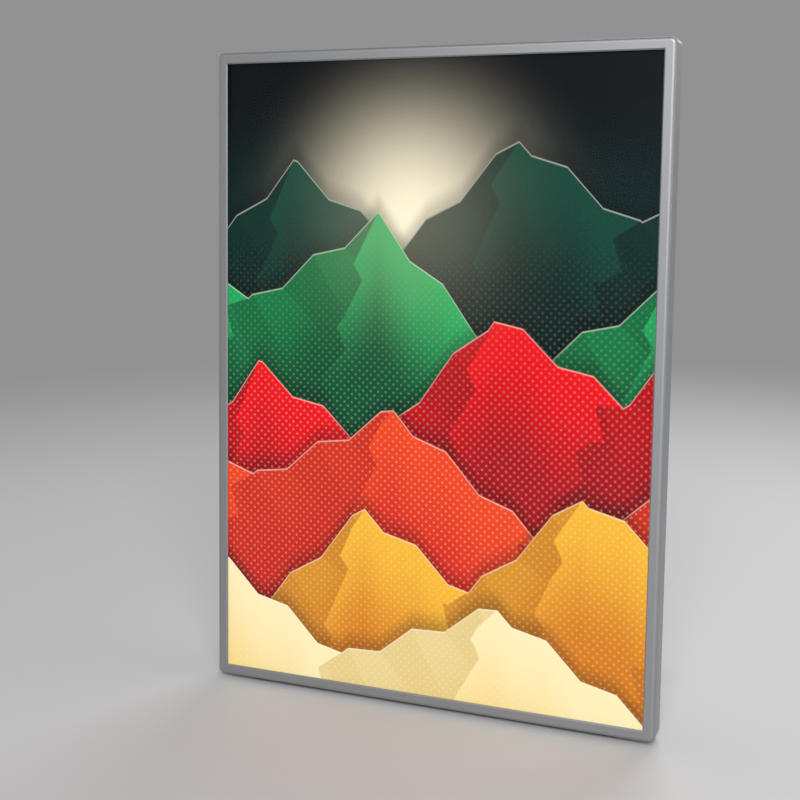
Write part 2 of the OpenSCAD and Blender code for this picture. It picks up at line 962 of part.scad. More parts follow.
module corner_key() {
  inner = key_in + key_w;
  difference() {
    along_y(flange_y - key_t, flange_y)
      translate([side_x, 0])
        mirror([1, 0])
          polygon([
            [key_in, key_in],
            [key_leg - key_taper, key_in],
            [key_leg, key_in + key_taper],
            [key_leg, inner - key_taper],
            [key_leg - key_taper, inner],
            [inner, inner],
            [inner, key_leg - key_taper],
            [inner - key_taper, key_leg],
            [key_in + key_taper, key_leg],
            [key_in, key_leg - key_taper]
          ]);
    end_key_place()
      rod_y(flange_y - key_t - over, flange_y + over, screw_hole_r, screw_hole_r);
    side_key_place()
      rod_y(flange_y - key_t - over, flange_y + over, screw_hole_r, screw_hole_r);
  }
}

module corner_keys() {
  color("darkgray")
    stand()
      four_corners()
        corner_key();
}

module corner_screws() {
  tip = flange_y - key_t + screw_tip;
  color("gainsboro")
    stand()
      four_corners() {
        end_key_place()
          sunk_screw(screw_r, head_r, sink_h, tip);
        side_key_place()
          sunk_screw(screw_r, head_r, sink_h, tip);
      }
}

// Back

module keyhole() {
  rod_y(back_y - over, back_y1 + over, keyhole_r, keyhole_r);
  translate([0, 0, keyhole_rise])
    rod_y(back_y - over, back_y1 + over, keyhole_slot / 2, keyhole_slot / 2);
  block([-keyhole_slot / 2, back_y - over, 0], [keyhole_slot / 2, back_y1 + over, keyhole_rise]);
}

// Section of the bead, drawn as distance from its middle and height on the sheet, with a foot in the sheet
module bead_section(inner, foot) {
  w = bead_w / 2 - inner;
  flat = bead_flat / 2 - inner;
  polygon([[-w, -foot], [-w, 0], [-flat, bead_h], [flat, bead_h], [w, 0], [w, -foot]]);
}

// Draws a section of the bead round the back panel, on the face at the depth y
module bead_loop(y) {
  translate([0, y, 0]) {
    both_ends()
      translate([0, 0, bead_end])
        bottom_edge(panel_w - 2 * bead_side - 2 * bead_r)
          children();
    both_sides()
      translate([-bead_side, 0, 0])
        right_edge(bead_end + bead_r, panel_h - bead_end - bead_r)
          children();
    four_corners()
      translate([side_x - bead_side - bead_r, 0, bead_end + bead_r])
        rotate([-90, 0, 0])
          rotate_extrude(angle = 90)
            translate([bead_r, 0])
              children();
  }
}

module back_panel() {
  color("whitesmoke")
    stand()
      difference() {
        union() {
          along_y(back_y, back_y1)
            inset_rect(back_in, back_in);
          bead_loop(back_y1)
            bead_section(0, back_t / 2);
        }
        bead_loop(back_y)
          bead_section(bead_inner, over);
        both_sides()
          translate([keyhole_span / 2, 0, panel_h - keyhole_drop])
            keyhole();
        back_screw_places()
          rod_y(back_y - over, back_y1 + over, screw_hole_r, screw_hole_r);
        both_sides()
          bracket_screw_places()
            rod_y(back_y - over, back_y1 + over, bracket_hole_r, bracket_hole_r);
      }
}

module back_panel_screws() {
  color("gainsboro")
    stand()
      back_screw_places()
        pan_screw(back_y1, flange_y - screw_tip, screw_r, head_r, pan_h);
}

module base_strip() {
  color("black")
    stand()
      along_x(strip_inset - side_x, side_x - strip_inset)
        polygon([
          [strip_y0, strip_seat],
          [strip_y1, strip_seat],
          [strip_y1, ground_z(strip_y1)],
          [strip_y0, ground_z(strip_y0)]
        ]);
}

// Electrics

// A notch in the control board's left edge, round a part of the given reach and width
module board_notch(z, reach, width) {
  translate([board_in - side_x - over, z - width / 2 - slip])
    square([reach - board_in + over + slip, width + 2 * slip]);
}

module control_board() {
  color("darkgreen")
    stand()
      difference() {
        along_y(board_y, flange_y)
          difference() {
            translate([board_in - side_x, board_z])
              square([board_w, board_l]);
            board_notch(jack_z, outlet_in + jack_l, jack_w);
            board_notch(switch_z, outlet_in + switch_d, switch_l);
          }
        board_screw_places()
          rod_y(board_y - over, flange_y + over, board_hole_r, board_hole_r);
      }
}

module board_parts() {
  color("dimgray")
    stand()
      translate([board_in - side_x + board_w - part_edge, board_y, board_z]) {
        translate([-chip_w, -chip_t, chip_z])
          cube([chip_w, chip_t, chip_l]);
        translate([-socket_w, -socket_t, board_l - socket_drop])
          cube([socket_w, socket_t, socket_l]);
        translate([-coil_r, 0, board_l - coil_drop])
          rod_y(-coil_h, 0, coil_r, coil_r);
      }
}

module board_screws() {
  color("gainsboro")
    stand()
      board_screw_places()
        sunk_screw(board_screw_r, board_head_r, board_sink_h, board_y - nut_t);
}

module board_nuts() {
  color("goldenrod")
    stand()
      board_screw_places()
        difference() {
          translate([0, board_y - nut_t, 0])
            rotate([-90, 0, 0])
              cylinder(h = nut_t, r = nut_r, $fn = 6);
          rod_y(board_y - nut_t - over, board_y + over, board_hole_r, board_hole_r);
        }
}

module dc_jack() {
  color("black")
    stand()
      translate([outlet_in - side_x, jack_y, jack_z])
        difference() {
          block([0, -jack_h / 2, -jack_w / 2], [jack_l, jack_h / 2, jack_w / 2]);
          translate([-over, 0, 0])
            rotate([0, 90, 0])
              cylinder(h = jack_depth + over, r = jack_bore_r);
        }
}

module jack_pin() {
  color("gold")
    stand()
      translate([outlet_in - side_x + jack_depth - jack_pin_l, jack_y, jack_z])
        rotate([0, 90, 0])
          cylinder(h = jack_pin_l, r = jack_pin_r);
}

module switch_body() {
  color("lightslategray")
    stand()
      translate([outlet_in - side_x, switch_y, switch_z])
        difference() {
          block([0, -switch_h / 2, -switch_l / 2], [switch_d, switch_h / 2, switch_l / 2]);
          block([-over, -slot_w / 2, -slot_l / 2], [switch_well, slot_w / 2, slot_l / 2]);
        }
}

module switch_knob() {
  color("black")
    stand()
      translate([-side_x, switch_y, switch_z + switch_travel / 2])
        block([-knob_out, -knob_w / 2, -knob_l / 2],
              [outlet_in + switch_well - slip, knob_w / 2, knob_l / 2]);
}

// One lead from its pad on the control board down to the height z and across to x1
module lead(x0, z, x1) {
  way = x1 > x0 ? 1 : -1;
  start = x0 + way * lead_bend;
  translate([0, lead_y, 0]) {
    translate([x0, 0, z + lead_bend])
      cylinder(h = lead_top - z - lead_bend, r = lead_r);
    translate([start, 0, z])
      rotate([0, way * 90, 0])
        cylinder(h = abs(x1 - start), r = lead_r);
    translate([x0, 0, z])
      mirror([way > 0 ? 0 : 1, 0, 0])
        translate([lead_bend, 0, lead_bend])
          rotate([-90, 0, 0])
            rotate([0, 0, 90])
              rotate_extrude(angle = 90)
                translate([lead_bend, 0])
                  circle(lead_r);
  }
}

module lead_pair(z, left_step, right_step) {
  tab_x = side_x - led_in - bore_slip;
  lead(lead_in - side_x + left_step * lead_step, z, -tab_x);
  lead(lead_in - side_x + right_step * lead_step, z, tab_x);
}

module positive_leads() {
  color("red")
    stand()
      lead_pair(positive_z, 0, 3);
}

module negative_leads() {
  color("black")
    stand()
      lead_pair(negative_z, 1, 2);
}

// Rear feet

// Plan of a bracket's ear, from the plate to round the hinge
module ear_outline() {
  circle(barrel_r);
  translate([-barrel_r, back_y1 + plate_t / 2 - hinge_y])
    square([2 * barrel_r, hinge_y - back_y1 - plate_t / 2]);
}

module foot_bracket() {
  difference() {
    union() {
      along_y(back_y1, plate_y1)
        translate([hinge_x - plate_w / 2, bracket_z])
          round_rect(plate_w, bracket_z1 - bracket_z, plate_r);
      for (z = [bracket_z, upper_ear_z])
        translate([hinge_x, hinge_y, z])
          linear_extrude(ear_t)
            ear_outline();
    }
    translate([hinge_x, hinge_y, bracket_z - over])
      cylinder(h = bracket_z1 - bracket_z + 2 * over, r = hinge_pin_r + press_slip);
    bracket_screw_places()
      rod_y(back_y1 - over, plate_y1 + over, bracket_hole_r, bracket_hole_r);
  }
}

module left_foot_bracket() {
  color("dimgray")
    stand()
      on_left()
        foot_bracket();
}

module right_foot_bracket() {
  color("dimgray")
    stand()
      foot_bracket();
}

module hinge_pin() {
  translate([hinge_x, hinge_y, 0])
    difference() {
      union() {
        translate([0, 0, bracket_z - pin_tail])
          cylinder(h = bracket_z1 + pin_head_h / 2 - bracket_z + pin_tail, r = hinge_pin_r);
        translate([0, 0, bracket_z1])
          cylinder(h = pin_head_h, r1 = pin_head_r, r2 = hinge_pin_r);
      }
      translate([0, 0, clip_z - bore_slip])
        difference() {
          cylinder(h = clip_t + 2 * bore_slip, r = pin_head_r);
          translate([0, 0, -over])
            cylinder(h = clip_t + 2 * over, r = hinge_pin_r - clip_groove);
        }
    }
}

module left_hinge_pin() {
  color("gainsboro")
    stand()
      on_left()
        hinge_pin();
}

module right_hinge_pin() {
  color("gainsboro")
    stand()
      hinge_pin();
}

module hinge_washers() {
  color("white")
    stand()
      both_sides()
        for (z = [washer_z, upper_washer_z])
          translate([hinge_x, hinge_y, z])
            difference() {
              cylinder(h = washer_t, r = barrel_r - slip);
              translate([0, 0, -over])
                cylinder(h = washer_t + 2 * over, r = hinge_pin_r + bore_slip);
            }
}

module pin_clips() {
  neck_r = hinge_pin_r - clip_groove + bore_slip;
  color("dimgray")
    stand()
      both_sides()
        translate([hinge_x, hinge_y, clip_z])
          difference() {
            cylinder(h = clip_t, r = clip_r);
            translate([0, 0, -over])
              cylinder(h = clip_t + 2 * over, r = neck_r);
            block([-neck_r * clip_mouth, 0, -over], [neck_r * clip_mouth, clip_r + over, clip_t + over]);
          }
}

module bracket_screws() {
  color("gainsboro")
    stand()
      both_sides()
        bracket_screw_places()
          pan_screw(plate_y1, back_y - bracket_nut_t, bracket_screw_r, bracket_head_r, bracket_head_h);
}

module bracket_nuts() {
  color("silver")
    stand()
      both_sides()
        bracket_screw_places()
          difference() {
            rod_y(back_y - bracket_nut_t, back_y, bracket_nut_r, bracket_nut_r);
            rod_y(back_y - bracket_nut_t - over, back_y + over, bracket_hole_r, bracket_hole_r);
          }
}

// Side outline of a foot's arm, drawn in by the given rim, from s0 to s1 behind the hinge
module arm_outline(rim, s0, s1) {
  difference() {
    polygon([
      [s0, foot_low(s0) + rim],
      [max(s0, foot_flat), foot_low(max(s0, foot_flat)) + rim],
      [s1, foot_low(s1) + rim],
      [s1, foot_tip_z1 - rim],
      [curve_b[0], curve_b[1] - rim],
      [curve_a[0], curve_a[1] - rim],
      [s0, curve_a[1] - rim]
    ]);
    translate(curve_centre)
      circle(curve_r + rim);
  }
}

module foot_arm() {
  hollow_s0 = barrel_r + foot_rim;
  hollow_s1 = foot_reach - boot_l - foot_rim;
  difference() {
    union() {
      translate([0, hinge_y, 0])
        along_x(hinge_x - foot_t / 2, hinge_x + foot_t / 2)
          arm_outline(0, 0, foot_reach);
      translate([hinge_x, hinge_y, barrel_z])
        cylinder(h = barrel_h, r = barrel_r);
      translate([hinge_x, 0, barrel_z + (barrel_h - heel_h) / 2])
        block([0, plate_y1 + slip, 0], [barrel_r + heel_out, hinge_y, heel_h]);
    }
    translate([hinge_x, hinge_y, barrel_z - over])
      cylinder(h = barrel_h + 2 * over, r = hinge_pin_r + hinge_play);
    for (x = [hinge_x - foot_t / 2 - over, hinge_x + foot_t / 2 - foot_hollow])
      translate([0, hinge_y, 0])
        along_x(x, x + foot_hollow + over)
          arm_outline(foot_rim, hollow_s0, hollow_s1);
  }
}

module left_foot_arm() {
  color("dimgray")
    stand()
      on_left()
        foot_arm();
}

module right_foot_arm() {
  color("dimgray")
    stand()
      foot_arm();
}

module foot_tip() {
  s0 = foot_reach - boot_l;
  s1 = foot_reach + boot_wall;
  top = foot_tip_z1 + boot_wall;
  half = foot_t / 2 + boot_wall;
  translate([hinge_x, hinge_y, 0])
    difference() {
      along_x(-half, half)
        polygon([
          [s0, ground_z(hinge_y + s0)],
          [s1, ground_z(hinge_y + s1)],
          [s1, top - boot_wall],
          [s1 - boot_wall, top],
          [s0, top]
        ]);
      along_x(-foot_t / 2 - bore_slip, foot_t / 2 + bore_slip)
        polygon([
          [s0 - over, foot_low(s0 - over) - bore_slip],
          [foot_reach + bore_slip, foot_low(foot_reach) - bore_slip],
          [foot_reach + bore_slip, foot_tip_z1 + bore_slip],
          [s0 - over, foot_tip_z1 + bore_slip]
        ]);
    }
}

module left_foot_tip() {
  color("black")
    stand()
      on_left()
        foot_tip();
}

module right_foot_tip() {
  color("black")
    stand()
      foot_tip();
}

front_bezel();
cover_lens();
cover_magnets();
poster_print();
diffuser_sheet();
light_guide_plate();
reflector_sheet();
foam_pads();
left_led_board();
right_led_board();
left_leds();
right_leds();
top_rail();
bottom_rail();
left_rail();
right_rail();
keeper_strips();
corner_keys();
corner_screws();
back_panel();
back_panel_screws();
base_strip();
control_board();
board_parts();
board_screws();
board_nuts();
dc_jack();
jack_pin();
switch_body();
switch_knob();
positive_leads();
negative_leads();
left_foot_bracket();
right_foot_bracket();
left_hinge_pin();
right_hinge_pin();
hinge_washers();
pin_clips();
bracket_screws();
bracket_nuts();
left_foot_arm();
right_foot_arm();
left_foot_tip();
right_foot_tip();
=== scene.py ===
"""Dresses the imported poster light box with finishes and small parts, and sets its studio."""

import logging
import math
from collections.abc import Iterable
from dataclasses import dataclass
from enum import Enum
from typing import Any

import bmesh
import bpy
from mathutils import Matrix, Vector


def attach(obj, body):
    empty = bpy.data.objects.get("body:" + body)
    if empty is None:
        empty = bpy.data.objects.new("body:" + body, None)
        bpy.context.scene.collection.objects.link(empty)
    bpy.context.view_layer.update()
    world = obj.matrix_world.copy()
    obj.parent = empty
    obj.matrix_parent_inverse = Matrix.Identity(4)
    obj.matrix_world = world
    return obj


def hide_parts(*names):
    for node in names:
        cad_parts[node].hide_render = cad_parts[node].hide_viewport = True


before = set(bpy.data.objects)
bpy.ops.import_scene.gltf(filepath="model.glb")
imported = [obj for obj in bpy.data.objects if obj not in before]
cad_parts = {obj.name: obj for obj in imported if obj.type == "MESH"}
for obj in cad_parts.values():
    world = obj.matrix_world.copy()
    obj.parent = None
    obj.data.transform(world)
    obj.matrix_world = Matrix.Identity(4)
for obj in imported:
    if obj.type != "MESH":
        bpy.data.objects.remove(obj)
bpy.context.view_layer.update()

LOG = logging.getLogger("light_box")
# Metres to a millimetre.
MM = 0.001
# Vertices this near to each other, in millimetres, become one.
WELD = 0.0005
# A shorter length than this, in millimetres, counts as none.
TINY = 0.01
# A face looks along an axis where its normal's part on that axis is over this.
FACING = 0.9

Colour = tuple[float, float, float]
Point = tuple[float, float, float]
Span = tuple[float, float]

BLACK: Colour = (0.0, 0.0, 0.0)


class Body(Enum):
    """The bodies that new pieces ride on."""

    FRAME = "frame"
    SWITCH = "switch"
    LEFT_FOOT = "left_foot"
    RIGHT_FOOT = "right_foot"


class Drawn(Enum):
    """How the grain of a metal surface is stretched, as scales along X, Y and Z."""

    EVEN = (1.0, 1.0, 1.0)
    ALONG_X = (0.02, 1.0, 1.0)
    ALONG_Z = (1.0, 1.0, 0.02)


@dataclass(frozen=True)
class PanelFrame:
    """The leaning panel's own frame, in millimetres: X to the right, Y into the panel, Z up along it.

    Attributes:
        lean: How far the panel leans back.
        lift: How high the foot of the bezel's face is above the floor.
        setback: How far that foot lies in front of the part's origin.
    """

    lean: float = math.radians(3.0)
    lift: float = 2.2
    setback: float = 10.599387

    def matrix(self) -> Matrix:
        """Gives the transform from the panel's millimetres to the part's metres.

        Returns:
            The matrix that turns, moves and scales a point of the panel.
        """
        turn = Matrix.Rotation(-self.lean, 4, "X")
        place = Matrix.Translation((0.0, -self.setback, self.lift))
        return Matrix.Scale(MM, 4) @ place @ turn

    def mapping(self) -> dict[str, Point]:
        """Gives the Mapping node's inputs that go the other way, from metres to the panel's millimetres.

        Returns:
            The node's location, rotation and scale.
        """
        back = Matrix.Rotation(self.lean, 3, "X")
        location = back @ Vector((0.0, self.setback, -self.lift))
        return {
            "Location": tuple(location),
            "Rotation": (self.lean, 0.0, 0.0),
            "Scale": (1.0 / MM, 1.0 / MM, 1.0 / MM),
        }

    def floor_z(self, depth: float) -> float:
        """Gives the floor's height in the panel's frame, at a depth behind the bezel's face."""
        return depth * math.tan(self.lean) - self.lift / math.cos(self.lean)


PANEL = PanelFrame()


def srgb(red: int, green: int, blue: int) -> Colour:
    """Turns a screen colour, with parts from 0 to 255, into the linear numbers that shaders take."""
    shares = [part / 255.0 for part in (red, green, blue)]
    return tuple(s / 12.92 if s <= 0.04045 else ((s + 0.055) / 1.055) ** 2.4 for s in shares)


def toned(colour: Colour, share: float) -> Colour:
    """Makes a colour darker or lighter by a share."""
    return tuple(share * part for part in colour)


@dataclass(frozen=True)
class Clouds:
    """Cloudy noise: clouds to a millimetre, finer layers in them, and how strong those are."""

    scale: float
    detail: float = 2.0
    rough: float = 0.5


@dataclass(frozen=True)
class Relief:
    """How far a surface's height shows: its strength, and the millimetres from lowest to highest."""

    strength: float
    depth: float


class Value:
    """A socket whose number varies over a surface. Operators on it add Math nodes."""

    def __init__(self, graph: "Graph", socket: bpy.types.NodeSocket) -> None:
        """Keeps the socket and the graph that it is in."""
        self.graph = graph
        self.socket = socket

    def __add__(self, other: "Value | float") -> "Value":
        """Adds a number."""
        return self.graph.math("ADD", self, other)

    __radd__ = __add__

    def __sub__(self, other: "Value | float") -> "Value":
        """Takes a number away."""
        return self.graph.math("SUBTRACT", self, other)

    def __rsub__(self, other: "Value | float") -> "Value":
        """Takes this value away from a number."""
        return self.graph.math("SUBTRACT", other, self)

    def __mul__(self, other: "Value | float") -> "Value":
        """Multiplies by a number."""
        return self.graph.math("MULTIPLY", self, other)

    __rmul__ = __mul__

    def __truediv__(self, other: "Value | float") -> "Value":
        """Divides by a number."""
        return self.graph.math("DIVIDE", self, other)

    def __pow__(self, other: "Value | float") -> "Value":
        """Raises to a power."""
        return self.graph.math("POWER", self, other)

    def __abs__(self) -> "Value":
        """Drops the sign."""
        return self.graph.math("ABSOLUTE", self)

    def part(self) -> "Value":
        """Keeps what is past the last whole number."""
        return self.graph.math("FRACT", self)

    def zigzag(self, half: float) -> "Value":
        """Folds the value into a triangle wave that rises from 0 to half and falls again."""
        return self.graph.math("PINGPONG", self, half)

    def most(self, other: "Value | float") -> "Value":
        """Takes the larger of two numbers."""
        return self.graph.math("MAXIMUM", self, other)

    def diagonal(self, other: "Value") -> "Value":
        """Gives the length of the diagonal of two sides."""
        return ((self ** 2.0) + (other ** 2.0)) ** 0.5

    def spread(self, width: float) -> "Value":
        """Turns the range from 0 to 1 into one of a width about zero."""
        return width * (self - 0.5)

    def step(self, low: float, high: float) -> "Value":
        """Rises smoothly from 0 at low to 1 at high, or falls where low is above high.

        Args:
            low: Where the result is 0.
            high: Where the result is 1.

        Returns:
            The smooth step.
        """
        settings = {"interpolation_type": "SMOOTHSTEP"}
        if low <= high:
            inputs = {"Value": self, "From Min": low, "From Max": high}
            return self.graph.node("ShaderNodeMapRange", settings, inputs)
        inputs = {"Value": self, "From Min": high, "From Max": low}
        return 1.0 - self.graph.node("ShaderNodeMapRange", settings, inputs)


class Graph:
    """The nodes of one material or world."""

    def __init__(self, tree: bpy.types.NodeTree) -> None:
        """Starts from an empty tree."""
        self.tree = tree
        tree.nodes.clear()

    def node(
        self,
        kind: str,
        settings: dict[str, Any] | None = None,
        inputs: dict[str | int, Any] | None = None,
        output: str | int = 0,
    ) -> Value:
        """Adds one node.

        Args:
            kind: The node's type.
            settings: Its own settings, which are set first.
            inputs: Values or links for its sockets, by name or number.
            output: The socket to hand back.

        Returns:
            The chosen output.
        """
        made = self.tree.nodes.new(kind)
        for key, setting in (settings or {}).items():
            setattr(made, key, setting)
        for key, value in (inputs or {}).items():
            if isinstance(value, Value):
                self.tree.links.new(value.socket, made.inputs[key])
            else:
                made.inputs[key].default_value = value
        if not made.outputs:
            return Value(self, made.inputs[0])
        return Value(self, made.outputs[output])

    def math(self, operation: str, *numbers: Value | float) -> Value:
        """Adds a Math node that does one operation on its numbers."""
        return self.node("ShaderNodeMath", {"operation": operation}, dict(enumerate(numbers)))

    def mix(self, share: Value | float, first: Value | Colour, second: Value | Colour) -> Value:
        """Mixes two colours.

        Args:
            share: How much of the second colour there is.
            first: The colour where share is 0.
            second: The colour where share is 1.

        Returns:
            The mixed colour.
        """
        colours = [c if isinstance(c, Value) else (*c, 1.0) for c in (first, second)]
        # A Mix node has sockets for each kind of data: 6 and 7 take colours, and output 2 gives one.
        inputs = {0: share, 6: colours[0], 7: colours[1]}
        return self.node("ShaderNodeMix", {"data_type": "RGBA"}, inputs, 2)

    def place(self) -> Value:
        """Gives a surface's place in the panel's frame, as a vector in millimetres."""
        spot = self.node("ShaderNodeTexCoord", output="Object")
        return self.node("ShaderNodeMapping", {"vector_type": "POINT"}, {"Vector": spot, **PANEL.mapping()})

    def split(self, vector: Value) -> tuple[Value, Value, Value]:
        """Splits a vector into its X, Y and Z."""
        first = self.node("ShaderNodeSeparateXYZ", inputs={0: vector})
        return tuple(Value(self, socket) for socket in first.socket.node.outputs)

    def stretched(self, vector: Value, scales: Point) -> Value:
        """Stretches a vector by scales along X, Y and Z."""
        return self.node("ShaderNodeVectorMath", {"operation": "MULTIPLY"}, {0: vector, 1: scales})

    def noise(self, vector: Value, clouds: Clouds) -> Value:
        """Adds cloudy noise between 0 and 1."""
        inputs = {"Vector": vector, "Scale": clouds.scale, "Detail": clouds.detail, "Roughness": clouds.rough}
        return self.node("ShaderNodeTexNoise", inputs=inputs)

    def cells(self, vector: Value, scale: float) -> Value:
        """Adds the distance to the nearest of scattered points, with so many of them to a millimetre."""
        return self.node("ShaderNodeTexVoronoi", inputs={"Vector": vector, "Scale": scale})

    def bump(self, height: Value, relief: Relief) -> Value:
        """Turns a height from 0 to 1 into a surface normal."""
        inputs = {"Height": height, "Strength": relief.strength, "Distance": relief.depth * MM}
        return self.node("ShaderNodeBump", inputs=inputs)

    def principled(self, **sockets: Any) -> Value:
        """Adds the surface's main shader.

        Args:
            sockets: Values or links by socket name, with _ for each space.

        Returns:
            The shader.
        """
        inputs = {}
        for key, value in sockets.items():
            name = key.replace("_", " ").title().replace("Ior", "IOR")
            is_colour = isinstance(value, tuple) and len(value) == 3
            inputs[name] = (*value, 1.0) if is_colour else value
        return self.node("ShaderNodeBsdfPrincipled", inputs=inputs)

    def blend(self, share: Value, first: Value, second: Value) -> Value:
        """Mixes two shaders, with the second where share is 1."""
        return self.node("ShaderNodeMixShader", inputs={0: share, 1: first, 2: second})

    def surface(self, shader: Value, kind: str = "ShaderNodeOutputMaterial") -> None:
        """Shows a shader on the surface."""
        self.node(kind, inputs={"Surface": shader})


@dataclass(frozen=True)
class Finish:
    """A surface finish, which becomes one material."""

    name: str

    def material(self) -> bpy.types.Material:
        """Makes the material.

        Returns:
            The material, with its nodes.
        """
        made = bpy.data.materials.new(self.name)
        made.use_nodes = True
        graph = Graph(made.node_tree)
        graph.surface(self.shade(graph))
        return made

    def shade(self, graph: Graph) -> Value:
        """Builds the shader, which each finish does in its own way."""
        raise NotImplementedError


@dataclass(frozen=True)
class Textured(Finish):
    """A surface with a fine grain and larger marks, which change its colour and its roughness.

    Attributes:
        colour: Its main colour.
        worn_tone: How light it is where it is worn, as a share of that colour.
        worn_lift: What is added to each part of the worn colour.
        metal: 1 for bare metal, and 0 for the rest.
        rough: Its mean roughness.
        gloss: How strongly it mirrors.
        drawn: How its grain is stretched.
        grain: Its grain.
        grain_share: How far the grain brings out the worn colour.
        grain_rough: How widely the grain spreads the roughness.
        relief: How far the grain stands up.
        marks: Its marks.
        mark_share: How far the marks bring out the worn colour.
        mark_rough: How widely the marks spread the roughness.
    """

    colour: Colour = BLACK
    worn_tone: float = 1.0
    worn_lift: float = 0.0
    metal: float = 0.0
    rough: float = 0.5
    gloss: float = 0.5
    drawn: Drawn = Drawn.EVEN
    grain: Clouds = Clouds(4.0, 3.0, 0.6)
    grain_share: float = 0.0
    grain_rough: float = 0.0
    relief: Relief = Relief(0.1, 0.05)
    marks: Clouds = Clouds(0.1, 3.0, 0.6)
    mark_share: float = 0.0
    mark_rough: float = 0.0

    def tone(self, graph: Graph, place: Value, grain: Value, marks: Value) -> Value:
        """Mixes the colour.

        Args:
            graph: The material's nodes.
            place: The place in the panel's frame, which is not used here.
            grain: The grain, from 0 to 1.
            marks: The marks, from 0 to 1.

        Returns:
            The colour.
        """
        wear = self.grain_share * grain + self.mark_share * marks
        worn = tuple(part + self.worn_lift for part in toned(self.colour, self.worn_tone))
        return graph.mix(wear, self.colour, worn)

    def shade(self, graph: Graph) -> Value:
        """Builds the shader.

        Args:
            graph: The material's nodes.

        Returns:
            The shader.
        """
        place = graph.place()
        grain = graph.noise(graph.stretched(place, self.drawn.value), self.grain)
        marks = graph.noise(place, self.marks)
        return graph.principled(
            base_color=self.tone(graph, place, grain, marks),
            metallic=self.metal,
            roughness=self.rough + grain.spread(self.grain_rough) + marks.spread(self.mark_rough),
            specular_ior_level=self.gloss,
            normal=graph.bump(grain, self.relief),
        )


@dataclass(frozen=True)
class SatinAluminium(Textured):
    """Anodised aluminium with a fine etched grain and faint handling marks."""

    colour: Colour = (0.385, 0.395, 0.41)
    metal: float = 1.0
    rough: float = 0.57
    grain_rough: float = 0.12
    marks: Clouds = Clouds(0.025, 3.0, 0.6)
    mark_share: float = 0.25
    mark_rough: float = -0.08
    mark_edge: Span = (0.58, 0.75)
    dull_tone: float = 0.9
    bright_tone: float = 1.08
    half_w: float = 154.0
    half_h: float = 215.5
    seam: float = 0.0
    seam_soft: float = 0.4
    seam_share: float = 0.85
    seam_tint: Colour = (0.02, 0.02, 0.02)

    def _seams(self, graph: Graph, place: Value) -> Value:
        """Finds the hairlines where mitred rails meet.

        Args:
            graph: The material's nodes.
            place: The place in the panel's frame.

        Returns:
            1 on a hairline, and 0 away from it.
        """
        x, _, z = graph.split(place)
        across = self.half_w - abs(x)
        up = self.half_h - abs(z - self.half_h)
        return abs(across - up).step(self.seam, self.seam_soft * self.seam)

    def tone(self, graph: Graph, place: Value, grain: Value, marks: Value) -> Value:
        """Mixes the colour, with dark hairlines where there are seams.

        Args:
            graph: The material's nodes.
            place: The place in the panel's frame.
            grain: The grain, from 0 to 1.
            marks: The marks, from 0 to 1.

        Returns:
            The colour.
        """
        bright = toned(self.colour, self.bright_tone)
        tone = graph.mix(grain, toned(self.colour, self.dull_tone), bright)
        tone = graph.mix(self.mark_share * marks.step(*self.mark_edge), tone, bright)
        if self.seam:
            tone = graph.mix(self.seam_share * self._seams(graph, place), tone, self.seam_tint)
        return tone


@dataclass(frozen=True)
class ClearSheet(Finish):
    """Clear, low-glare sheet that shows what is behind it, plain or with printed dots."""

    mirror: float = 0.25
    rough: float = 0.27
    tint: Colour = (0.92, 0.95, 0.96)
    index: float = 1.49
    smears: Clouds = Clouds(0.02, 3.0, 0.6)
    smear_rough: float = 0.06
    dots: float = 0.0
    dot_half: float = 1.5
    dot_edge: Span = (0.6, 0.4)

    def shade(self, graph: Graph) -> Value:
        """Builds the shader.

        Args:
            graph: The material's nodes.

        Returns:
            The shader.
        """
        place = graph.place()
        smears = graph.noise(place, self.smears)
        gloss = graph.principled(
            base_color=self.tint,
            metallic=1.0,
            roughness=self.rough + smears.spread(self.smear_rough),
        )
        clear = graph.node("ShaderNodeBsdfTransparent")
        share = self.mirror * graph.node("ShaderNodeFresnel", inputs={"IOR": self.index})
        if self.dots:
            x, _, z = graph.split(place)
            near = x.zigzag(self.dot_half).diagonal(z.zigzag(self.dot_half))
            share = share.most(self.dots * near.step(*self.dot_edge))
        return graph.blend(share, clear, gloss)


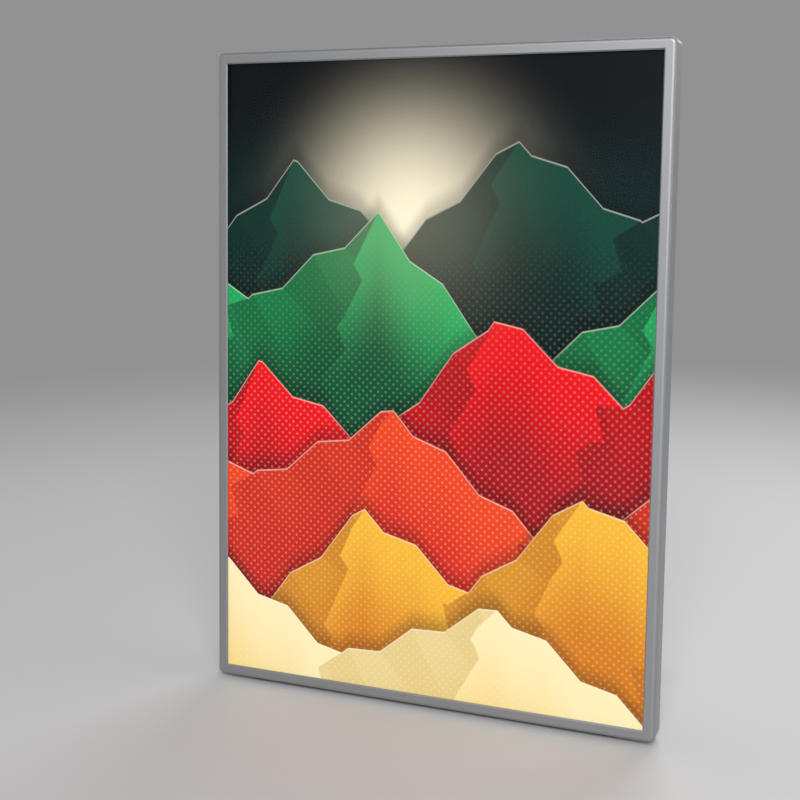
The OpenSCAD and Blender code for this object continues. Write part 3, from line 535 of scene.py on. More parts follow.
@dataclass(frozen=True)
class Ridge:
    """One layer of the film's paper-cut ridges, in millimetres on the film.

    Every layer casts the same shadow, and has the same notches, folds, shards and rim.

    Attributes:
        base: Its height at the film's middle.
        tilt: How much it rises to the right.
        rise: The height of its peaks over its base.
        half: Half the distance between its peaks.
        shift: How far its peaks are moved to the left.
        crest: Its colour at the top.
        foot: Its colour lower down.
    """

    base: float
    tilt: float
    rise: float
    half: float
    shift: float
    crest: Colour
    foot: Colour
    fade: float = 95.0
    edge: Span = (-0.15, 0.15)
    notch_rise: float = 9.0
    notch_half: float = 23.0
    shadow: float = 16.0
    shadow_share: float = 0.42
    fold_slope: float = 0.34
    fold_half: float = 17.0
    fold_jag: float = 0.7
    fold_edge: Span = (0.497, 0.503)
    fold_share: float = 0.72
    fold_tone: float = 0.8
    shard_slope: float = 0.52
    shard_edge: Span = (0.49, 0.51)
    shard_fade: Span = (70.0, 5.0)
    shard_share: float = 0.16
    rim_edge: Span = (1.3, 0.8)
    rim_share: float = 0.30
    rim_tint: Colour = (1.0, 0.98, 0.86)

    def paint(self, graph: Graph, under: Value, x: Value, z: Value) -> Value:
        """Lays the ridge over what is painted so far.

        Args:
            graph: The material's nodes.
            under: The colour so far.
            x: The place across the film.
            z: The place up the film.

        Returns:
            The colour with the ridge on it.
        """
        swing = x + self.shift
        peaks = swing.zigzag(self.half) * (self.rise / self.half)
        notches = (x - self.shift).zigzag(self.notch_half) * (self.notch_rise / self.notch_half)
        depth = peaks + notches + (self.base + self.tilt * x) - z
        shade = (depth + self.shadow).step(0.0, self.shadow) * self.shadow_share
        shaded = graph.mix(shade, under, BLACK)
        fold = swing + depth * self.fold_slope + depth.zigzag(self.fold_half) * self.fold_jag
        lit = (fold / (2.0 * self.half)).part().step(*self.fold_edge)
        shards = x - self.shift - depth * self.shard_slope
        glint = (shards / (2.0 * self.notch_half)).part().step(*self.shard_edge)
        paint = graph.mix(depth.step(0.0, self.fade), self.crest, self.foot)
        paint = graph.mix(self.fold_share * (1.0 - lit), paint, toned(self.foot, self.fold_tone))
        paint = graph.mix(self.shard_share * glint * depth.step(*self.shard_fade), paint, self.crest)
        paint = graph.mix(self.rim_share * depth.step(*self.rim_edge), paint, self.rim_tint)
        return graph.mix(depth.step(*self.edge), shaded, paint)


@dataclass(frozen=True)
class PrintedFilm(Finish):
    """Translucent film with a print of layered ridges under a soft glow, lit from behind."""

    ridges: tuple[Ridge, ...] = (
        Ridge(300.0, 0.10, 62.0, 78.0, 20.0, srgb(14, 70, 56), srgb(3, 34, 31)),
        Ridge(232.0, -0.20, 78.0, 96.0, -60.0, srgb(30, 168, 92), srgb(0, 84, 50)),
        Ridge(176.0, 0.24, 70.0, 84.0, 40.0, srgb(236, 14, 26), srgb(170, 6, 20)),
        Ridge(122.0, -0.12, 66.0, 104.0, 128.0, srgb(240, 72, 30), srgb(214, 36, 24)),
        Ridge(70.0, 0.16, 60.0, 74.0, -30.0, srgb(248, 186, 52), srgb(216, 126, 20)),
        Ridge(14.0, -0.10, 58.0, 110.0, 60.0, srgb(254, 238, 186), srgb(248, 214, 130)),
    )
    sky_top: Colour = srgb(0, 4, 12)
    sky_low: Colour = srgb(10, 44, 44)
    sky_rise: Span = (270.0, 420.0)
    glow: Colour = srgb(255, 244, 214)
    glow_x: float = -14.0
    glow_z: float = 322.0
    glow_reach: float = 150.0
    glow_fall: float = 2.4
    glow_haze: float = 0.12
    dot_half: float = 2.7
    dot_edge: Span = (1.5, 0.7)
    dot_fade: Span = (330.0, 150.0)
    dot_share: float = 0.16
    dot_tint: Colour = (1.0, 0.95, 0.8)
    shine: float = 0.86
    unlit: float = 0.82
    rough: float = 0.6
    gloss: float = 0.05

    def _sky(self, graph: Graph, x: Value, z: Value) -> tuple[Value, Value]:
        """Paints the sky and its glow.

        Args:
            graph: The material's nodes.
            x: The place across the film.
            z: The place up the film.

        Returns:
            The sky's colour, and the glow's strength.
        """
        night = graph.mix(z.step(*self.sky_rise), self.sky_low, self.sky_top)
        away = (x - self.glow_x).diagonal(z - self.glow_z)
        halo = away.step(self.glow_reach, 0.0) ** self.glow_fall
        return graph.mix(halo, night, self.glow), halo

    def shade(self, graph: Graph) -> Value:
        """Builds the shader.

        Args:
            graph: The material's nodes.

        Returns:
            The shader.
        """
        x, _, z = graph.split(graph.place())
        colour, halo = self._sky(graph, x, z)
        for ridge in self.ridges:
            colour = ridge.paint(graph, colour, x, z)
        near = (x + z).zigzag(self.dot_half).diagonal((x - z).zigzag(self.dot_half))
        dots = near.step(*self.dot_edge) * z.step(*self.dot_fade)
        colour = graph.mix(self.dot_share * dots, colour, self.dot_tint)
        colour = graph.mix(self.glow_haze * halo, colour, self.glow)
        return graph.principled(
            base_color=graph.mix(self.unlit, colour, BLACK),
            roughness=self.rough,
            specular_ior_level=self.gloss,
            emission_color=colour,
            emission_strength=self.shine,
        )


@dataclass(frozen=True)
class PowderCoat(Textured):
    """Powder-coated metal with a fine orange peel and a little dust."""

    colour: Colour = (0.79, 0.795, 0.79)
    rough: float = 0.46
    gloss: float = 0.45
    grain: Clouds = Clouds(0.9, 2.0, 0.45)
    grain_rough: float = 0.10
    relief: Relief = Relief(0.45, 0.14)
    marks: Clouds = Clouds(0.03, 4.0, 0.6)
    mark_rough: float = 0.10
    speck: Clouds = Clouds(6.0)
    speck_share: float = 0.5
    speck_tone: float = 0.86
    dust: Colour = (0.45, 0.43, 0.40)
    dust_edge: Span = (0.5, 0.8)
    dust_share: float = 0.10

    def tone(self, graph: Graph, place: Value, grain: Value, marks: Value) -> Value:
        """Mixes the colour, with fine specks under the dust.

        Args:
            graph: The material's nodes.
            place: The place in the panel's frame.
            grain: The peel, which leaves the colour as it is.
            marks: Where the dust lies, from 0 to 1.

        Returns:
            The colour.
        """
        speck = self.speck_share * graph.noise(place, self.speck)
        tone = graph.mix(speck, self.colour, toned(self.colour, self.speck_tone))
        return graph.mix(self.dust_share * marks.step(*self.dust_edge), tone, self.dust)


@dataclass(frozen=True)
class Moulding(Textured):
    """Moulded plastic with a spark-eroded texture."""

    colour: Colour = (0.035, 0.036, 0.038)
    worn_tone: float = 1.35
    worn_lift: float = 0.004
    rough: float = 0.52
    gloss: float = 0.45
    grain: Clouds = Clouds(2.4, 3.0, 0.55)
    grain_share: float = 0.6
    grain_rough: float = 0.16
    relief: Relief = Relief(0.35, 0.06)
    marks: Clouds = Clouds(0.06, 3.0, 0.6)
    mark_share: float = 0.3
    mark_rough: float = -0.12


@dataclass(frozen=True)
class Rubber(Textured):
    """Matt black rubber with a bloom of dust."""

    colour: Colour = (0.016, 0.016, 0.017)
    rough: float = 0.80
    gloss: float = 0.35
    grain: Clouds = Clouds(1.8, 4.0, 0.65)
    grain_rough: float = 0.16
    relief: Relief = Relief(0.4, 0.08)
    marks: Clouds = Clouds(0.12, 3.0, 0.6)
    bloom: Colour = (0.075, 0.072, 0.068)
    bloom_edge: Span = (0.45, 0.75)
    bloom_share: float = 0.5

    def tone(self, graph: Graph, place: Value, grain: Value, marks: Value) -> Value:
        """Mixes the colour, with the bloom where the grain stands up in the marks."""
        bloom = self.bloom_share * marks.step(*self.bloom_edge) * grain
        return graph.mix(bloom, self.colour, self.bloom)


@dataclass(frozen=True)
class PlatedMetal(Textured):
    """Bright plated metal with fine tool marks."""

    colour: Colour = (0.60, 0.61, 0.63)
    worn_tone: float = 0.78
    metal: float = 1.0
    rough: float = 0.33
    grain: Clouds = Clouds(5.0, 3.0, 0.6)
    grain_share: float = 0.3
    relief: Relief = Relief(0.15, 0.03)
    marks: Clouds = Clouds(0.5, 3.0, 0.6)
    mark_share: float = 0.6
    mark_rough: float = 0.14


@dataclass(frozen=True)
class WhiteSheet(Finish):
    """White plastic sheet with a faint mottle."""

    colour: Colour = (0.86, 0.86, 0.85)
    rough: float = 0.5
    mottle: Clouds = Clouds(0.4, 4.0, 0.6)
    mottle_tone: float = 0.9
    mottle_share: float = 0.3
    mottle_rough: float = 0.1
    relief: Relief = Relief(0.1, 0.04)

    def shade(self, graph: Graph) -> Value:
        """Builds the shader.

        Args:
            graph: The material's nodes.

        Returns:
            The shader.
        """
        mottle = graph.noise(graph.place(), self.mottle)
        shaded = toned(self.colour, self.mottle_tone)
        return graph.principled(
            base_color=graph.mix(self.mottle_share * mottle, self.colour, shaded),
            roughness=self.rough + self.mottle_rough * mottle,
            normal=graph.bump(mottle, self.relief),
        )


@dataclass(frozen=True)
class Traces:
    """Parallel copper traces that come and go in patches."""

    half: float
    edge: Span
    patches: Clouds
    patch_edge: Span

    def find(self, graph: Graph, place: Value, across: Value) -> Value:
        """Finds the traces, as 1 on copper and 0 between, from the place and the distance across them."""
        shown = across.zigzag(self.half).step(*self.edge)
        return shown * graph.noise(place, self.patches).step(*self.patch_edge)


@dataclass(frozen=True)
class CircuitBoard(Finish):
    """Solder mask over copper traces."""

    mask: Colour = (0.012, 0.12, 0.05)
    copper: Colour = (0.03, 0.23, 0.09)
    level: Traces = Traces(0.7, (0.42, 0.48), Clouds(0.18, 1.0), (0.46, 0.5))
    upright: Traces = Traces(0.9, (0.62, 0.68), Clouds(0.14, 1.0), (0.5, 0.54))
    rough: float = 0.38
    grain: Clouds = Clouds(1.2)
    grain_rough: float = 0.1
    relief: Relief = Relief(0.4, 0.04)

    def shade(self, graph: Graph) -> Value:
        """Builds the shader.

        Args:
            graph: The material's nodes.

        Returns:
            The shader.
        """
        place = graph.place()
        x, y, z = graph.split(place)
        runs = self.level.find(graph, place, z + y)
        runs = runs.most(self.upright.find(graph, place, x + y))
        return graph.principled(
            base_color=graph.mix(runs, self.mask, self.copper),
            roughness=self.rough + self.grain_rough * graph.noise(place, self.grain),
            normal=graph.bump(runs, self.relief),
        )


@dataclass(frozen=True)
class LedPackage(Finish):
    """White moulded packages with a window of yellow phosphor."""

    half_pitch: float = 6.25
    middle: float = 215.5
    half_window: float = 1.2
    window_soft: float = 0.1
    window: Colour = (0.88, 0.66, 0.10)
    case: Colour = (0.85, 0.85, 0.82)
    rough: float = 0.3
    grain: Clouds = Clouds(3.0)
    grain_rough: float = 0.2
    relief: Relief = Relief(0.1, 0.02)

    def shade(self, graph: Graph) -> Value:
        """Builds the shader.

        Args:
            graph: The material's nodes.

        Returns:
            The shader.
        """
        place = graph.place()
        _, _, z = graph.split(place)
        grain = graph.noise(place, self.grain)
        within = (z - self.middle + self.half_pitch).zigzag(self.half_pitch)
        lens = abs(within - self.half_pitch).step(self.half_window, self.half_window - self.window_soft)
        return graph.principled(
            base_color=graph.mix(lens, self.case, self.window),
            roughness=self.rough + self.grain_rough * grain,
            normal=graph.bump(grain, self.relief),
        )


@dataclass(frozen=True)
class Foam(Finish):
    """Closed-cell foam."""

    colour: Colour = (0.05, 0.05, 0.055)
    pale_tone: float = 1.8
    rough: float = 0.9
    gloss: float = 0.2
    cells: float = 1.6
    relief: Relief = Relief(0.6, 0.3)

    def shade(self, graph: Graph) -> Value:
        """Builds the shader.

        Args:
            graph: The material's nodes.

        Returns:
            The shader.
        """
        cells = graph.cells(graph.place(), self.cells)
        return graph.principled(
            base_color=graph.mix(cells, self.colour, toned(self.colour, self.pale_tone)),
            roughness=self.rough,
            specular_ior_level=self.gloss,
            normal=graph.bump(cells, self.relief),
        )


@dataclass(frozen=True)
class PaleFloor(Finish):
    """Plain pale floor that fades into the backdrop between two distances, in metres."""

    backdrop: Colour
    colour: Colour = (0.54, 0.54, 0.545)
    rough: float = 0.55
    gloss: float = 0.3
    fade: Span = (0.5, 1.5)

    def shade(self, graph: Graph) -> Value:
        """Builds the shader.

        Args:
            graph: The floor's nodes.

        Returns:
            The shader.
        """
        spot = graph.node("ShaderNodeTexCoord", output="Object")
        away = graph.node("ShaderNodeVectorMath", {"operation": "LENGTH"}, {0: spot}, 1)
        near = graph.principled(
            base_color=self.colour,
            roughness=self.rough,
            specular_ior_level=self.gloss,
        )
        far = graph.node("ShaderNodeEmission", inputs={"Color": (*self.backdrop, 1.0)})
        return graph.blend(away.step(*self.fade), near, far)


class Wardrobe:
    """Makes each finish's material once, and dresses nodes and pieces in them."""

    def __init__(self) -> None:
        """Starts with no materials."""
        self._made: dict[str, bpy.types.Material] = {}

    def material(self, finish: Finish) -> bpy.types.Material:
        """Gives a finish's material.

        Args:
            finish: The finish.

        Returns:
            Its material, made on first use.
        """
        if finish.name not in self._made:
            self._made[finish.name] = finish.material()
        return self._made[finish.name]

    def dress(self, finish: Finish, *nodes: str) -> None:
        """Puts a finish on CAD nodes.

        Args:
            finish: The finish.
            nodes: The nodes' names.
        """
        for name in nodes:
            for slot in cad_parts[name].material_slots:
                slot.material = self.material(finish)
            LOG.info("node %s: %s", name, finish.name)


class Shape:
    """A mesh that is drawn in the panel's millimetres and becomes one piece of the part."""

    def __init__(self) -> None:
        """Starts from an empty mesh."""
        self.mesh = bmesh.new()

    def block(self, low: Point, high: Point) -> None:
        """Adds a box between two corners.

        Args:
            low: Its lowest corner.
            high: Its highest corner.
        """
        size = Vector(high) - Vector(low)
        middle = (Vector(high) + Vector(low)) / 2.0
        matrix = Matrix.Translation(middle) @ Matrix.Diagonal((*size, 1.0))
        bmesh.ops.create_cube(self.mesh, size=1.0, matrix=matrix)

    def lathe(self, profile: Iterable[Span], steps: int, place: Matrix) -> list[bmesh.types.BMVert]:
        """Turns a profile round the place's Z axis.

        Args:
            profile: Points as radius and height.
            steps: How many faces go round.
            place: Where the axis is.

        Returns:
            The turned vertices.
        """
        points = [self.mesh.verts.new((radius, 0.0, height)) for radius, height in profile]
        edges = [self.mesh.edges.new(pair) for pair in zip(points, points[1:])]
        before = set(self.mesh.verts) - set(points)
        bmesh.ops.spin(
            self.mesh,
            geom=points + edges,
            cent=(0.0, 0.0, 0.0),
            axis=(0.0, 0.0, 1.0),
            angle=math.tau,
            steps=steps,
            use_merge=True,
        )
        verts = [vert for vert in self.mesh.verts if vert not in before]
        bmesh.ops.remove_doubles(self.mesh, verts=verts, dist=WELD)
        verts = [vert for vert in self.mesh.verts if vert not in before]
        bmesh.ops.transform(self.mesh, matrix=place, verts=verts)
        return verts

    def piece(
        self,
        name: str,
        body: Body,
        material: bpy.types.Material,
        smooth: float = 0.0,
    ) -> bpy.types.Object:
        """Ends the mesh and hangs it on a body.

        Args:
            name: The piece's name.
            body: The body that it moves with.
            material: Its material.
            smooth: The largest angle, in degrees, that is shaded smooth; 0 leaves all faces flat.

        Returns:
            The piece.
        """
        bmesh.ops.remove_doubles(self.mesh, verts=self.mesh.verts, dist=WELD)
        bmesh.ops.recalc_face_normals(self.mesh, faces=self.mesh.faces)
        if smooth:
            for face in self.mesh.faces:
                face.smooth = True
            for edge in self.mesh.edges:
                edge.smooth = edge.calc_face_angle(math.pi) < math.radians(smooth)
        bmesh.ops.transform(self.mesh, matrix=PANEL.matrix(), verts=self.mesh.verts)
        data = bpy.data.meshes.new(name)
        self.mesh.to_mesh(data)
        self.mesh.free()
        data.materials.append(material)
        made = bpy.data.objects.new(name, data)
        bpy.context.scene.collection.objects.link(made)
        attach(made, body.value)
        LOG.info("piece %s on %s", name, body.value)
        return made


@dataclass(frozen=True)
class PanHeadScrew:
    """A pan-head screw with a cross recess, which stands on a face that looks backwards.

    Attributes:
        head_r: The radius of its head.
        head_h: The height of its head.
        shank_r: The radius of its shank.
        length: The length of its shank.
        arm: Half the width of the recess's arms.
        reach: How far they reach, as a share of head_r.
        sink: How deep they are, as a share of head_h.
        taper: How much smaller the recess is at its floor.
        steps: How many faces go round.
        smooth: The largest angle, in degrees, that is shaded smooth.
        dome: The head's outline, as shares of head_r and head_h.
    """

    head_r: float
    head_h: float
    shank_r: float
    length: float
    arm: float = 0.28
    reach: float = 0.54
    sink: float = 0.55
    taper: float = 0.82
    steps: int = 36
    smooth: float = 40.0
    dome: tuple[Span, ...] = (
        (1.0, 0.0),
        (1.0, 0.42),
        (0.97, 0.62),
        (0.88, 0.82),
        (0.74, 0.95),
        (0.66, 1.0),
        (0.63, 1.0),
    )

    def _recess(
        self,
        mesh: bmesh.types.BMesh,
        rim: list[bmesh.types.BMEdge],
    ) -> list[bmesh.types.BMVert]:
        """Closes the top of the head with a cross recess.

        Args:
            mesh: The mesh that the screw is in.
            rim: The open edges at the top of the head.

        Returns:
            The recess's vertices.
        """
        near, far = self.arm, self.reach * self.head_r
        outline = [(near, far), (near, near), (far, near), (far, -near), (near, -near), (near, -far)]
        outline += [(-across, -up) for across, up in outline]
        corners = [mesh.verts.new((across, up, self.head_h)) for across, up in outline]
        cross = [mesh.edges.new(pair) for pair in zip(corners, corners[1:] + corners[:1])]
        bmesh.ops.bridge_loops(mesh, edges=rim + cross)
        walls = bmesh.ops.extrude_edge_only(mesh, edges=cross)["geom"]
        floor = [g for g in walls if isinstance(g, bmesh.types.BMVert)]
        bmesh.ops.scale(mesh, vec=(self.taper, self.taper, 1.0), verts=floor)
        bmesh.ops.translate(mesh, vec=(0.0, 0.0, -self.sink * self.head_h), verts=floor)
        bmesh.ops.contextual_create(mesh, geom=[g for g in walls if isinstance(g, bmesh.types.BMEdge)])
        return corners + floor

    def draw(self, shape: Shape, x: float, y: float, z: float, turn: float) -> None:
        """Adds the screw to a shape.

        Args:
            shape: The shape to add it to.
            x: Its place across the panel.
            y: The depth of the face that its head sits on.
            z: Its place up the panel.
            turn: The angle of its recess.
        """
        profile = [(0.0, -self.length), (self.shank_r, -self.length), (self.shank_r, 0.0)]
        profile += [(across * self.head_r, up * self.head_h) for across, up in self.dome]
        around = shape.lathe(profile, self.steps, Matrix.Identity(4))
        rim = dict.fromkeys(e for v in around for e in v.link_edges if e.is_boundary)
        verts = around + self._recess(shape.mesh, list(rim))
        place = Matrix.Translation((x, y, z)) @ Matrix.Rotation(-math.pi / 2.0, 4, "X")
        place = place @ Matrix.Rotation(turn, 4, "Z")
        bmesh.ops.transform(shape.mesh, matrix=place, verts=verts)


@dataclass(frozen=True)
class FrontCover:
    """The bezel, its clear lens and its magnets."""

    silver: Finish = SatinAluminium("satin_bezel")
    lens: Finish = ClearSheet("clear_lens")
    nickel: Finish = PlatedMetal("magnet_nickel", colour=(0.42, 0.42, 0.44))

    def build(self, wardrobe: Wardrobe) -> None:
        """Dresses the cover's nodes.

        Args:
            wardrobe: Where the materials come from.
        """
        wardrobe.dress(self.silver, "front_bezel")
        wardrobe.dress(self.lens, "cover_lens")
        wardrobe.dress(self.nickel, "cover_magnets")


@dataclass(frozen=True)
class LightEngine:
    """The film and the lit stack behind it."""

    film: Finish = PrintedFilm("printed_film")
    opal: Finish = WhiteSheet("opal_sheet", rough=0.35)
    guide: Finish = ClearSheet("guide_plate", mirror=1.0, rough=0.08, dots=0.5)
    white: Finish = WhiteSheet("white_reflector", rough=0.6)
    foam: Finish = Foam("pad_foam")
    board: Finish = CircuitBoard("led_board")
    leds: Finish = LedPackage("led_package")

    def build(self, wardrobe: Wardrobe) -> None:
        """Dresses the stack's nodes.

        Args:
            wardrobe: Where the materials come from.
        """
        wardrobe.dress(self.film, "poster_print")
        wardrobe.dress(self.opal, "diffuser_sheet")
        wardrobe.dress(self.guide, "light_guide_plate")
        wardrobe.dress(self.white, "reflector_sheet")
        wardrobe.dress(self.foam, "foam_pads")
        wardrobe.dress(self.board, "left_led_board", "right_led_board")
        wardrobe.dress(self.leds, "left_leds", "right_leds")


@dataclass(frozen=True)
class MitredFrame:
    """The four rails, what joins them and the strip that they stand on."""

    ends: Finish = SatinAluminium("rail_across", drawn=Drawn.ALONG_X, seam=0.25)
    sides: Finish = SatinAluminium("rail_upright", drawn=Drawn.ALONG_Z, seam=0.25)
    steel: Finish = PlatedMetal("zinc_steel")
    cast: Finish = PlatedMetal("cast_key", colour=(0.40, 0.40, 0.41), rough=0.57)
    rubber: Finish = Rubber("black_rubber")

    def build(self, wardrobe: Wardrobe) -> None:
        """Dresses the frame's nodes.

        Args:
            wardrobe: Where the materials come from.
        """
        wardrobe.dress(self.ends, "top_rail", "bottom_rail")
        wardrobe.dress(self.sides, "left_rail", "right_rail")
        wardrobe.dress(self.steel, "keeper_strips", "corner_screws")
        wardrobe.dress(self.cast, "corner_keys")
        wardrobe.dress(self.rubber, "base_strip")


@dataclass(frozen=True)
class BackSheet:
    """The back panel and the screws round it."""

    white: Finish = PowderCoat("white_powder")
    steel: Finish = PlatedMetal("zinc_steel")
    face_y: float = 17.8
    end_x: float = 104.5
    end_z: float = 210.6
    side_x: float = 149.1
    side_z: float = 183.5
    middle: float = 215.5
    screw: PanHeadScrew = PanHeadScrew(2.5, 1.4, 1.2, 3.9)
    turn_step: float = 2.4

    def _places(self) -> list[Span]:
        """Lists the screws' places.

        Returns:
            Each screw's place across and up the panel.
        """
        steps = (-1.0, 0.0, 1.0)
        ends = [(x * self.end_x, self.middle + z) for z in (-self.end_z, self.end_z) for x in steps]
        sides = [(x, self.middle + z * self.side_z) for x in (-self.side_x, self.side_x) for z in steps]
        return ends + sides

    def build(self, wardrobe: Wardrobe) -> None:
        """Dresses the sheet and makes its screws.

        Args:
            wardrobe: Where the materials come from.
        """
        wardrobe.dress(self.white, "back_panel")
        shape = Shape()
        for count, (x, z) in enumerate(self._places()):
            self.screw.draw(shape, x, self.face_y, z, count * self.turn_step)
        steel = wardrobe.material(self.steel)
        made = shape.piece("back_screws", Body.FRAME, steel, self.screw.smooth)
        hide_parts("back_panel_screws")


@dataclass(frozen=True)
class Electrics:
    """The control board, the power jack, the switch and the leads."""

    board: Finish = CircuitBoard("control_board")
    black: Finish = Moulding("black_moulding")
    steel: Finish = PlatedMetal("zinc_steel")
    brass: Finish = PlatedMetal("contact_brass", colour=(0.72, 0.50, 0.20), rough=0.27)
    red: Finish = Moulding("red_lead", colour=(0.45, 0.02, 0.02))
    dark: Finish = Moulding("black_lead", colour=(0.02, 0.02, 0.02))
    ink: Finish = Moulding("mark_ink", colour=(0.05, 0.05, 0.055))
    wall_x: float = -154.0
    switch_y: float = 12.05
    switch_z: float = 78.0
    jack_y: float = 12.0
    jack_z: float = 57.0
    knob_low: Point = (-154.3, 11.25, 78.3)
    knob_high: Point = (-150.45, 12.85, 81.7)
    ridge: float = 0.3
    ridge_cuts: int = 8
    mark_depth: float = 0.04
    mark_gap: float = 10.4
    bar_half_w: float = 0.2
    bar_half_h: float = 1.2
    ring_r: float = 1.15
    ring_w: float = 0.35
    ring_steps: int = 40
    sign_gap: float = 5.6
    sign_half: float = 1.5
    sign_edge: Span = (0.4, 0.75)
    dash_half: float = 0.36
    dash_steps: tuple[float, ...] = (-1.1, 0.0, 1.1)

    def _knob(self, wardrobe: Wardrobe) -> None:
        """Makes the switch's ridged knob.

        Args:
            wardrobe: Where its material comes from.
        """
        shape = Shape()
        shape.block(self.knob_low, self.knob_high)
        upright = [e for e in shape.mesh.edges if abs(e.verts[0].co.z - e.verts[1].co.z) > TINY]
        bmesh.ops.subdivide_edges(shape.mesh, edges=upright, cuts=self.ridge_cuts, use_grid_fill=True)
        outer = [f for f in shape.mesh.faces if f.normal.x < -FACING]
        outer.sort(key=lambda face: face.calc_center_median().z)
        raised = bmesh.ops.extrude_discrete_faces(shape.mesh, faces=outer[::2])["faces"]
        bmesh.ops.translate(
            shape.mesh,
            vec=(-self.ridge, 0.0, 0.0),
            verts=list({vert for face in raised for vert in face.verts}),
        )
        made = shape.piece("switch_ridges", Body.SWITCH, wardrobe.material(self.black))
        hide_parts("switch_knob")

    def _bar(self, shape: Shape, y: float, half: float, low: float, high: float) -> None:
        """Prints a bar on the side wall: its depth, half its width, and the heights of its two ends."""
        out, into = self.wall_x - self.mark_depth, self.wall_x + self.mark_depth
        shape.block((out, y - half, low), (into, y + half, high))

    def _marks(self, wardrobe: Wardrobe) -> None:
        """Prints the on and off marks beside the switch, and the supply mark beside the jack.

        Args:
            wardrobe: Where their material comes from.
        """
        shape = Shape()
        on_z, off_z = self.switch_z + self.mark_gap, self.switch_z - self.mark_gap
        self._bar(shape, self.switch_y, self.bar_half_w, on_z - self.bar_half_h, on_z + self.bar_half_h)
        place = Matrix.Translation((self.wall_x, self.switch_y, off_z))
        inner, outer, depth = self.ring_r - self.ring_w, self.ring_r, self.mark_depth
        ring = ((inner, -depth), (outer, -depth), (outer, depth), (inner, depth), (inner, -depth))
        shape.lathe(ring, self.ring_steps, place @ Matrix.Rotation(math.pi / 2.0, 4, "Y"))
        sign_y = self.jack_y - self.sign_gap
        near, far = self.sign_edge
        self._bar(shape, sign_y, self.sign_half, self.jack_z + near, self.jack_z + far)
        for step in self.dash_steps:
            self._bar(shape, sign_y + step, self.dash_half, self.jack_z - far, self.jack_z - near)
        shape.piece("side_marks", Body.FRAME, wardrobe.material(self.ink))

    def build(self, wardrobe: Wardrobe) -> None:
        """Dresses the electrics and makes the knob and the marks.

        Args:
            wardrobe: Where the materials come from.
        """
        wardrobe.dress(self.board, "control_board")
        wardrobe.dress(self.black, "board_parts", "dc_jack")
        wardrobe.dress(self.steel, "board_screws", "switch_body")
        wardrobe.dress(self.brass, "board_nuts", "jack_pin")
        wardrobe.dress(self.red, "positive_leads")
        wardrobe.dress(self.dark, "negative_leads")
        self._knob(wardrobe)
        self._marks(wardrobe)


